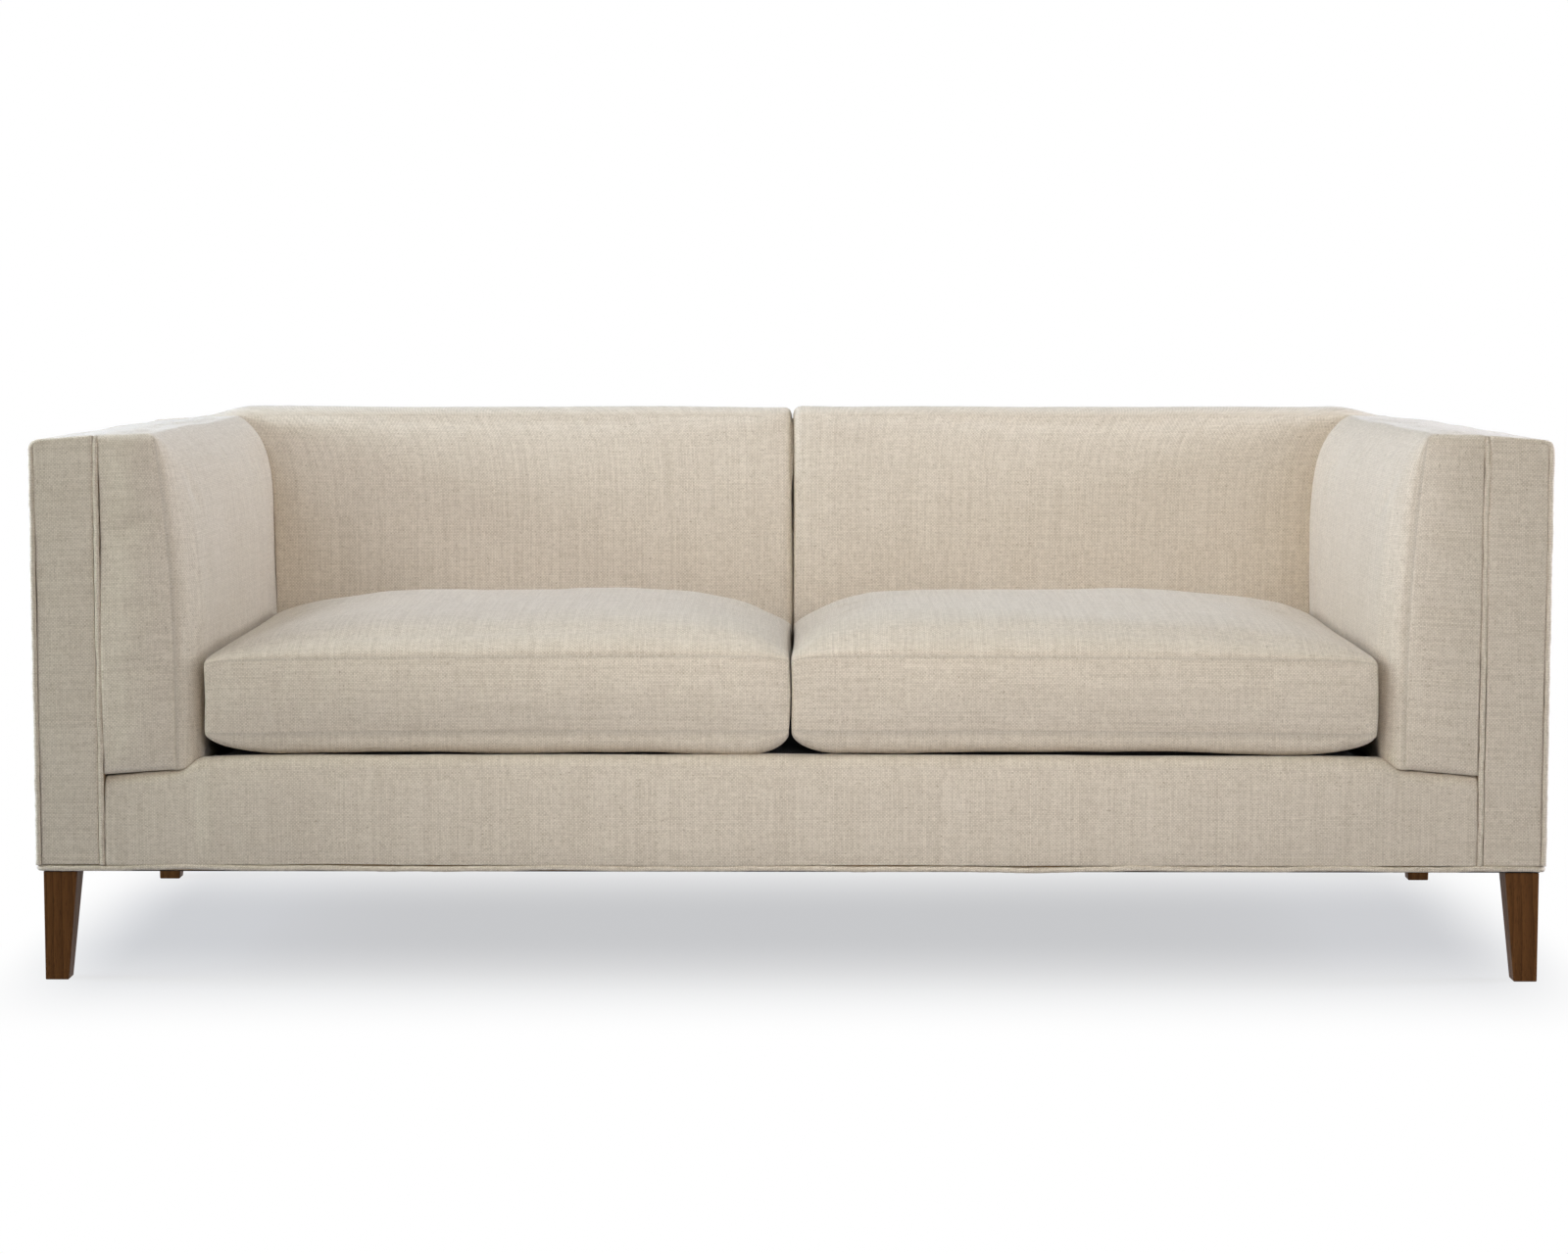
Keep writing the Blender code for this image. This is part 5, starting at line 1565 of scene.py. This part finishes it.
def add_welt(name, node, points, seed, radii=None, closed=False):
    """A welt sewn to the covers of the frame, along a path of straight runs and turns."""
    path, run = spaced_path(points, WELT_STEP)
    if closed:
        path, run = path[:-1], run[:-1]
        path[:, 2] += BASE_WAVE[0] * ripples(path, BASE_WAVE[1], seed)
    sizes = np.full(len(path), WELT_RADIUS) if radii is None else radii(run, run[-1])
    welt = add_object(name, welt_mesh(name, path, run, sizes, closed, seed), linen)
    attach(welt, "sofa_frame")
    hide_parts(node)


def dying_tail(run, total):
    """The outer welt's radius: full up to the corner, thinning to nothing along its tail."""
    left = np.clip((total - run) / WELT_TAIL, 0.0, 1.0)
    return WELT_TAIL_RADIUS + (WELT_RADIUS - WELT_TAIL_RADIUS) * left


for number, (side_name, side) in enumerate(SIDES):
    outer_x = welt_high.x - WELT_RADIUS
    turn_x, turn_z = welt_high.x - WELT_CORNER, welt_high.z - WELT_CORNER
    outer = [(outer_x, WELT_FOOT)] + turn_points((turn_x, turn_z), WELT_CORNER - WELT_RADIUS, 0, 90)
    outer_points = [(side * x, WELT_Y, z + float(arm_top_slope(turn_x, WELT_Y))) for x, z in outer]
    outer_points[0] = (side * outer_x, WELT_Y, WELT_FOOT)
    tail_z = welt_high.z - WELT_TAIL_RADIUS + float(arm_top_slope(turn_x - WELT_TAIL, WELT_Y))
    tail_y = WELT_Y + WELT_RADIUS - WELT_TAIL_RADIUS
    outer_points.append((side * (turn_x - WELT_TAIL), tail_y, tail_z))
    add_welt(f"{side_name}_outer_cord", f"{side_name}_outer_welt", outer_points, 131 + number, dying_tail)
    inner_top = welt_high.z - WELT_RADIUS + float(arm_top_slope(INNER_WELT_X, WELT_Y))
    over_turn = turn_points((WELT_Y + INNER_TURN, inner_top - INNER_TURN), INNER_TURN, 180, 90)
    inner_points = [(side * INNER_WELT_X, WELT_Y, WELT_FOOT)]
    inner_points += [(side * INNER_WELT_X, y, z) for y, z in over_turn]
    inner_points.append((side * INNER_WELT_X, WELT_Y + INNER_OVER, inner_top - INNER_DROP))
    add_welt(f"{side_name}_inner_cord", f"{side_name}_inner_welt", inner_points, 141 + number)

base_x = base_high.x - WELT_RADIUS - BASE_TURN
base_y = base_high.y - WELT_RADIUS - BASE_TURN
base_z = base_low.z + WELT_RADIUS
base_route = []
for corner_x, corner_y, start in ((1, 1, 0), (-1, 1, 90), (-1, -1, 180), (1, -1, 270)):
    base_route += turn_points((corner_x * base_x, corner_y * base_y), BASE_TURN, start, start + 90)
base_points = [(x, y, base_z) for x, y in base_route]
add_welt("base_cord", "base_welt", base_points + base_points[:1], 151, closed=True)


# Seat cushions: loose boxed cushions, foam cores in zipped linen covers, crowned above and flat on the deck.
# Plain seams join top and bottom to the boxing, which bellies out a little and is drawn in at the corners.
CUSHION_LOWER = 0.0325
CUSHION_BOXING = 0.105
CUSHION_CROWN = 0.0400
CROWN_RUN_END = 0.200
CROWN_RUN_INNER = 0.170
CROWN_RUN_OUTER = 0.340
CUSHION_PULL = 0.007
CUSHION_SIDE_PULL = 0.0035
CUSHION_SWELL = 0.008
CUSHION_TUCK = 0.005
CUSHION_SAG = 0.0033
SAG_RUN = 0.080
CUSHION_CORNER = 0.0055
CUSHION_SHOULDERS = (1.25, 1.5)
CUSHION_INNER_DROP = 0.016
CUSHION_CLOSER = 0.0013
CUSHION_DIP = 0.006
CUSHION_REAR_SET = 0.0032
LOWER_RUN = 0.027
LOWER_RUN_INNER = 0.070
LOWER_RUN_OUTER = 0.110
CUSHION_DROOP = 0.0055
LOWER_DROOP_SHARE = 0.8
LOWER_RISE = 0.002
CORNER_POWER = 24
DROOP_POWER = 1.5
VALLEY_POWER = 6


def cushion_rings(low, high, side):
    """Placing functions for one cushion's boxing, top and bottom, about its own middle."""
    middle_x, middle_y = (low.x + high.x - side * CUSHION_CLOSER) / 2.0, (low.y + high.y) / 2.0
    half_x, half_y = (high.x - low.x + CUSHION_CLOSER) / 2.0, (high.y - low.y) / 2.0

    def seam_heights(u, v):
        """Z of both seams: drawn together at the corners, drooping at the outer front and inner rear."""
        corner = (u * v) ** CORNER_POWER
        droop = CUSHION_DROOP * ((1.0 + side * u) / 2.0) ** DROOP_POWER * (1.0 - v) / 2.0
        lower = low.z + CUSHION_LOWER + LOWER_RISE * corner - LOWER_DROOP_SHARE * droop
        valley = CUSHION_INNER_DROP * ((1.0 - side * u) / 2.0) ** VALLEY_POWER * (1.0 + v) / 2.0
        upper = low.z + CUSHION_LOWER + CUSHION_BOXING - CUSHION_DIP * corner - droop - valley
        return lower, upper

    def outline(u, v, w):
        """X and Y of the boxing: drawn in along its sides, bellied between its seams, rounded at corners."""
        belly = CUSHION_SWELL * (1.0 - w * w)
        pull_x = CUSHION_SIDE_PULL * (1.0 - v * v)
        at_side = np.abs(u) > 1.0 - EDGE_SHARE
        x = u * (half_x - pull_x) + np.where(at_side, u * pull_x * (1.0 - w * w), 0.0)
        pull_y = np.where(v < 0, CUSHION_PULL * (1.0 - u * u), 0.0)
        rolled = CUSHION_TUCK * ((1.0 - w) / 2.0) ** 2
        at_front, at_rear = v < EDGE_SHARE - 1.0, v > 1.0 - EDGE_SHARE
        y = v * (half_y - pull_y) + np.where(at_front, (rolled - belly) * (1.0 - u * u), 0.0)
        y = np.where(at_rear, half_y - CUSHION_REAR_SET, y)
        past_x = np.maximum(np.abs(x) - half_x + CUSHION_CORNER, 0.0) / CUSHION_CORNER
        past_y = np.maximum(np.abs(y) - half_y + CUSHION_CORNER, 0.0) / CUSHION_CORNER
        both, scale = corner_share(past_x, past_y)
        x = np.where(both, np.sign(x) * (half_x - CUSHION_CORNER + CUSHION_CORNER * past_x * scale), x)
        y = np.where(both, np.sign(y) * (half_y - CUSHION_CORNER + CUSHION_CORNER * past_y * scale), y)
        return x, y

    def ring(number, share, way):
        """The boxing from its lower to its upper seam: front, right, rear and left."""
        ones = np.ones_like(share)
        u = (2.0 * share - 1.0, ones, 1.0 - 2.0 * share, -ones)[number]
        v = (-ones, 2.0 * share - 1.0, ones, 1.0 - 2.0 * share)[number]
        x, y = outline(u, v, 2.0 * way - 1.0)
        lower, upper = seam_heights(u, v)
        return np.stack([middle_x + x, middle_y + y, lower + way * (upper - lower)], axis=-1)

    def edges(a, b):
        """Distances from the nearest side, and from the front or rear."""
        return half_x * np.minimum(a, 1.0 - a) * 2.0, half_y * np.minimum(b, 1.0 - b) * 2.0

    def outer_half(a):
        """Whether a place is on the half beside the arm."""
        return (a > 0.5) if side > 0 else (a < 0.5)

    def top(cap, a, b):
        """The crowned top, which falls more slowly towards the arm than towards the other cushion."""
        from_side, from_end = edges(a, b)
        side_run = np.where(outer_half(a), CROWN_RUN_OUTER, CROWN_RUN_INNER)
        power = np.where(outer_half(a), CUSHION_SHOULDERS[1], CUSHION_SHOULDERS[0])
        shoulder = rounded(from_side, side_run) ** power
        cap[..., 2] += CUSHION_CROWN * shoulder * rounded(from_end, CROWN_RUN_END)
        return cap

    def bottom(cap, a, b):
        """The underside: flat on the deck, rolled up to its seam, sagging on to the border."""
        from_side, from_end = edges(a, b)
        side_run = np.where(outer_half(a), LOWER_RUN_OUTER, LOWER_RUN_INNER)
        belly = rounded(from_side, side_run) * rounded(from_end, LOWER_RUN)
        sag = CUSHION_SAG * eased(1.0 - half_y * 2.0 * b / SAG_RUN)
        cap[..., 2] += (low.z - sag - cap[..., 2]) * belly
        return cap

    return ring, bottom, top


def cushion_held(number, a, b):
    """Cushion covers are held along their seams, on the deck, at the zip and against their neighbours."""
    if number in (1, 2, 3, 4):
        return np.ones_like(a)
    sewn = at_edges(a, b) if number == 5 else at_edges(b)
    return sewn.astype(float)


for number, (side_name, side) in enumerate(SIDES):
    cushion_low, cushion_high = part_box(f"{side_name}_cushion_cover")
    ring, bottom, top = cushion_rings(cushion_low, cushion_high, side)
    size = cushion_high - cushion_low
    cushion = stuffed(
        f"{side_name}_seat_cushion",
        ring,
        (bottom, top),
        (size.x, size.y, CUSHION_BOXING),
        cushion_held,
        pressure=3.0,
        slack=0.006,
        most=0.007,
        seams=(ALL_SEAMS, ALL_SEAMS),
        seed=161 + 10 * number,
        relief=drawn_seams(161 + 10 * number, lump=0.0014),
    )
    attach(cushion, f"{side_name}_cushion")
    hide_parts(f"{side_name}_cushion_cover")


# Cushion cores: blocks of seat foam cut to the cushion's own shape, a little smaller all round.
# They fill the covers, and come out through the zip.
CORE_MARGIN = 0.010
CORE_STEP = 0.03
CORE_STEP_UP = 0.02
for side_name, side in SIDES:
    cushion_low, cushion_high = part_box(f"{side_name}_cushion_cover")
    ring, bottom, top = cushion_rings(cushion_low, cushion_high, side)
    size = cushion_high - cushion_low
    core_around = (stations(size.x, CORE_STEP), stations(size.y, CORE_STEP))
    core_panels = boxed(ring, core_around, stations(CUSHION_BOXING, CORE_STEP_UP), (bottom, top))
    core_middle = np.array((cushion_low + cushion_high) / 2.0)
    core_scale = 1.0 - 2.0 * CORE_MARGIN / np.array(size)
    core_panels = [core_middle + (panel - core_middle) * core_scale for panel in core_panels]
    core = upholstered(f"{side_name}_foam_core", core_panels, foam, 181)
    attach(core, f"{side_name}_cushion")
    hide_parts(f"{side_name}_cushion_core")


# Zips: woven tape let into each cushion's rear boxing, with two rows of small metal teeth that mesh.
# The slider runs on the teeth from end to end.
TOOTH_PITCH = 0.0022
TOOTH_SIZE = (0.0008, 0.0006, 0.0017)
TOOTH_ASIDE = 0.55
TAPE_STEP = 0.01
zip_tape = cloth_material("zip_tape", OATMEAL_PALE, OATMEAL_DARK, OATMEAL_DARK, 0.0006, 0.01, 0.3, 0.1)


def make_teeth_tree():
    """Two facing rows of rounded teeth along X from a first place, staggered so that they mesh."""
    sizes = [("First", "NodeSocketVector"), ("Pitch", "NodeSocketFloat"), ("Count", "NodeSocketInt")]
    sizes += [("Tooth", "NodeSocketVector"), ("Finish", "NodeSocketMaterial")]
    tree, given, result = new_nodes("zip_teeth", sizes)
    ball = put(tree, "GeometryNodeMeshUVSphere", {"Segments": 8, "Rings": 5, "Radius": 1.0}).outputs[0]
    tooth = put(tree, "GeometryNodeTransform", {0: ball, "Scale": given["Tooth"]}).outputs[0]
    step = put(tree, "ShaderNodeCombineXYZ", {0: given["Pitch"]}).outputs[0]
    height = put(tree, "ShaderNodeSeparateXYZ", {0: given["Tooth"]}).outputs[2]
    rows = []
    for stagger, side_step in ((0.0, -TOOTH_ASIDE), (0.5, TOOTH_ASIDE)):
        aside = work_out(tree, "MULTIPLY", height, side_step)
        onward = work_out(tree, "MULTIPLY", given["Pitch"], stagger)
        shift = put(tree, "ShaderNodeCombineXYZ", {0: onward, 2: aside}).outputs[0]
        first = put(tree, "ShaderNodeVectorMath", {0: given["First"], 1: shift}, operation="ADD").outputs[0]
        values = {"Count": given["Count"], "Start Location": first, "Offset": step}
        rows.append(put(tree, "GeometryNodeMeshLine", values).outputs[0])
    copies = put(tree, "GeometryNodeInstanceOnPoints", {"Points": join_all(tree, rows), "Instance": tooth})
    solid = put(tree, "GeometryNodeRealizeInstances", {0: copies.outputs[0]}).outputs[0]
    finished = put(tree, "GeometryNodeSetMaterial", {0: solid, "Material": given["Finish"]})
    tree.links.new(finished.outputs[0], result[0])
    return tree


teeth_tree = make_teeth_tree()
for side_name, side in SIDES:
    zip_low, zip_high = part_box(f"{side_name}_cushion_zip")
    zip_length = zip_high.x - zip_low.x
    tape_around = (evenly(zip_length, TAPE_STEP), SHEET_WAYS)
    tape_panels = boxed(slab_ring(zip_low, zip_high), tape_around, SHEET_WAYS)
    tape = upholstered(f"{side_name}_zip_tape", tape_panels, zip_tape, 191)
    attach(tape, f"{side_name}_cushion")
    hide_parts(f"{side_name}_cushion_zip")
    tooth_place = (zip_low.x + TOOTH_PITCH, zip_high.y - TOOTH_SIZE[1] / 2.0, (zip_low.z + zip_high.z) / 2.0)
    teeth_values = {
        "First": tooth_place,
        "Pitch": TOOTH_PITCH,
        "Count": int(zip_length / TOOTH_PITCH) - 1,
        "Tooth": TOOTH_SIZE,
        "Finish": zinc_steel,
    }
    teeth_mesh = grown("teeth", teeth_tree, bpy.data.meshes.new("no_mesh"), teeth_values)
    teeth = add_object(f"{side_name}_zip_teeth", teeth_mesh, None)
    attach(teeth, f"{side_name}_cushion")
    finish_nodes(zinc_steel, [f"{side_name}_zip_slider"])


# Studio: a pale seamless floor that keeps the sofa's shadow, with a soft shadow painted under the sofa that
# fades to white; soft lamps above and all round, and the camera.
# The camera stands where the photograph was taken from, a little above the arms.
FLOOR_HALF = 14.0
FLOOR_BOUNCE = (0.45, 0.45, 0.46, 1.0)
FLOOR_SEEN = (0.100, 0.100, 0.100, 1.0)
# Grey that the floor glows with, seen straight, in the middle of its painted shadow
FLOOR_PAINTED_SHADOW = (0.562, 0.568, 0.582, 1.0)
SHADOW_MIDDLE = -0.03
SHADOW_BEHIND = 0.88
SHADOW_ENDS = (0.96, 1.18)
SHADOW_FRONT = (0.10, 0.82)
FILL_COLOUR = (1.0, 0.905, 0.715, 1.0)
FILL_STRENGTH = 0.117
BLACK = (0.0, 0.0, 0.0, 1.0)
WHITE = (1.0, 1.0, 1.0, 1.0)
CAMERA_PLACE = (0.0292, -5.275, 0.9565)
CAMERA_DOWN = 5.353
CAMERA_LEFT = 0.4477


def seen_straight(tree):
    """1 for rays that the camera sees straight, mirrored or through something, and 0 for scattered light."""
    rays = put(tree, "ShaderNodeLightPath", {}).outputs
    seen = work_out(tree, "MAXIMUM", rays["Is Camera Ray"], rays["Is Glossy Ray"])
    return work_out(tree, "MAXIMUM", seen, rays["Is Transmission Ray"])


floor_mesh = bpy.data.meshes.new("studio_floor")
floor_corners = [(-FLOOR_HALF, -FLOOR_HALF, 0), (FLOOR_HALF, -FLOOR_HALF, 0)]
floor_corners += [(FLOOR_HALF, FLOOR_HALF, 0), (-FLOOR_HALF, FLOOR_HALF, 0)]
floor_mesh.from_pydata(floor_corners, [], [(0, 1, 2, 3)])
floor_material, floor_tree, floor_shader = new_material("studio_floor_white")
floor_shader.inputs["Roughness"].default_value = 1.0
floor_shader.inputs["Specular IOR Level"].default_value = 0.0
straight = seen_straight(floor_tree)
floor_place = object_place(floor_tree)
floor_parts = put(floor_tree, "ShaderNodeSeparateXYZ", {0: floor_place}).outputs
# Painted shadow: seen straight, the floor glows grey round the sofa and white further out, and its lit part
# fades out with it
ahead = work_out(floor_tree, "SUBTRACT", floor_parts[1], SHADOW_MIDDLE)
behind = work_out(floor_tree, "MULTIPLY", ahead, SHADOW_BEHIND)
deep = work_out(floor_tree, "MAXIMUM", work_out(floor_tree, "MULTIPLY", ahead, -1.0), behind)
wide = work_out(floor_tree, "ABSOLUTE", floor_parts[0])
kept = []
for reach, (near, far) in ((wide, SHADOW_ENDS), (deep, SHADOW_FRONT)):
    fade = {"Value": reach, "From Min": near, "From Max": far, "To Min": 1.0, "To Max": 0.0}
    kept.append(put(floor_tree, "ShaderNodeMapRange", fade, interpolation_type="SMOOTHSTEP").outputs[0])
plain = work_out(floor_tree, "SUBTRACT", 1.0, work_out(floor_tree, "MULTIPLY", *kept))
floor_colour = between(floor_tree, plain, FLOOR_SEEN, BLACK)
join(floor_tree, between(floor_tree, straight, FLOOR_BOUNCE, floor_colour), floor_shader, "Base Color")
join(floor_tree, between(floor_tree, plain, FLOOR_PAINTED_SHADOW, WHITE), floor_shader, "Emission Color")
join(floor_tree, straight, floor_shader, "Emission Strength")
floor = add_object("studio_floor", floor_mesh, floor_material)

world = bpy.data.worlds.new("studio")
bpy.context.scene.world = world
world.use_nodes = True
sky = world.node_tree
fill = put(sky, "ShaderNodeBackground", {0: FILL_COLOUR, 1: FILL_STRENGTH}).outputs[0]
white = put(sky, "ShaderNodeBackground", {0: WHITE, 1: 1.0}).outputs[0]
backdrop = put(sky, "ShaderNodeMixShader", {0: seen_straight(sky), 1: fill, 2: white}).outputs[0]
sky.links.new(backdrop, sky.nodes["World Output"].inputs["Surface"])


def add_softbox(name, place, aim, size, watts, colour, spread=180.0):
    """A rectangular soft light aimed at a point, with a grid that narrows its beam to a spread in degrees."""
    light = bpy.data.lights.new(name, "AREA")
    light.shape = "RECTANGLE"
    light.size, light.size_y = size
    light.energy = watts
    light.color = colour
    light.spread = math.radians(spread)
    lamp = bpy.data.objects.new(name, light)
    lamp.location = place
    way = np.array(aim, float) - np.array(place, float)
    lamp.rotation_euler = Vector(way).to_track_quat("-Z", "Y").to_euler()
    bpy.context.scene.collection.objects.link(lamp)


add_softbox("overhead_softbox", (0.15, 0.6, 2.9), (0.05, 0.0, 0.4), (3.0, 1.2), 22.4, (0.90, 1.01, 1.13))
add_softbox("left_high_softbox", (-1.9, -0.5, 2.5), (0.4, 0.0, 0.5), (1.0, 1.2), 17.3, (0.88, 1.01, 1.25))
add_softbox("left_low_softbox", (-3.2, -0.7, 1.25), (0.9, 0.0, 0.6), (1.0, 0.7), 42.0, (0.90, 1.05, 0.95))
add_softbox("right_low_softbox", (3.2, -0.7, 1.25), (-0.9, 0.0, 0.6), (1.0, 0.7), 14.5, (0.86, 1.07, 0.94))
add_softbox("left_side_softbox", (-3.2, -0.15, 1.12), (0.9, 0.0, 0.6), (0.5, 0.7), 32.0, (0.85, 0.97, 1.60))
add_softbox("right_side_softbox", (3.2, -0.15, 1.12), (-0.9, 0.0, 0.6), (0.5, 0.7), 56.5, (0.96, 0.98, 1.26))
add_softbox("left_front_spot", (-2.1, -3.4, 1.7), (0.8, 0.2, 0.6), (0.5, 0.6), 2.8, (1.0, 0.99, 1.03), 45.0)
add_softbox("right_front_spot", (2.1, -3.4, 1.7), (-0.6, 0.2, 0.6), (0.5, 0.6), 1.2, (0.97, 1.0, 1.09), 45.0)
add_softbox("far_right_softbox", (1.5, -5.2, 1.5), (0.3, 0.0, 0.4), (1.0, 0.8), 2.1, (0.95, 1.0, 1.12), 45.0)
add_softbox("rear_softbox", (0.0, 4.2, 0.74), (0.0, 0.4, 0.5), (2.0, 0.5), 42.0, (1.0, 1.0, 1.04), 120.0)
add_softbox("near_softbox", (0.2, -2.8, 1.6), (0.2, 0.0, 0.4), (1.2, 0.8), 9.0, (1.06, 0.99, 0.92), 120.0)

camera_data = bpy.data.cameras.new("photo_camera")
camera_data.sensor_width = 36.0
camera_data.lens = 79.2
camera = bpy.data.objects.new("photo_camera", camera_data)
camera.location = CAMERA_PLACE
camera.rotation_euler = (math.radians(90.0 - CAMERA_DOWN), 0.0, math.radians(CAMERA_LEFT))
bpy.context.scene.collection.objects.link(camera)
bpy.context.scene.camera = camera
bpy.context.scene.view_settings.view_transform = "Standard"
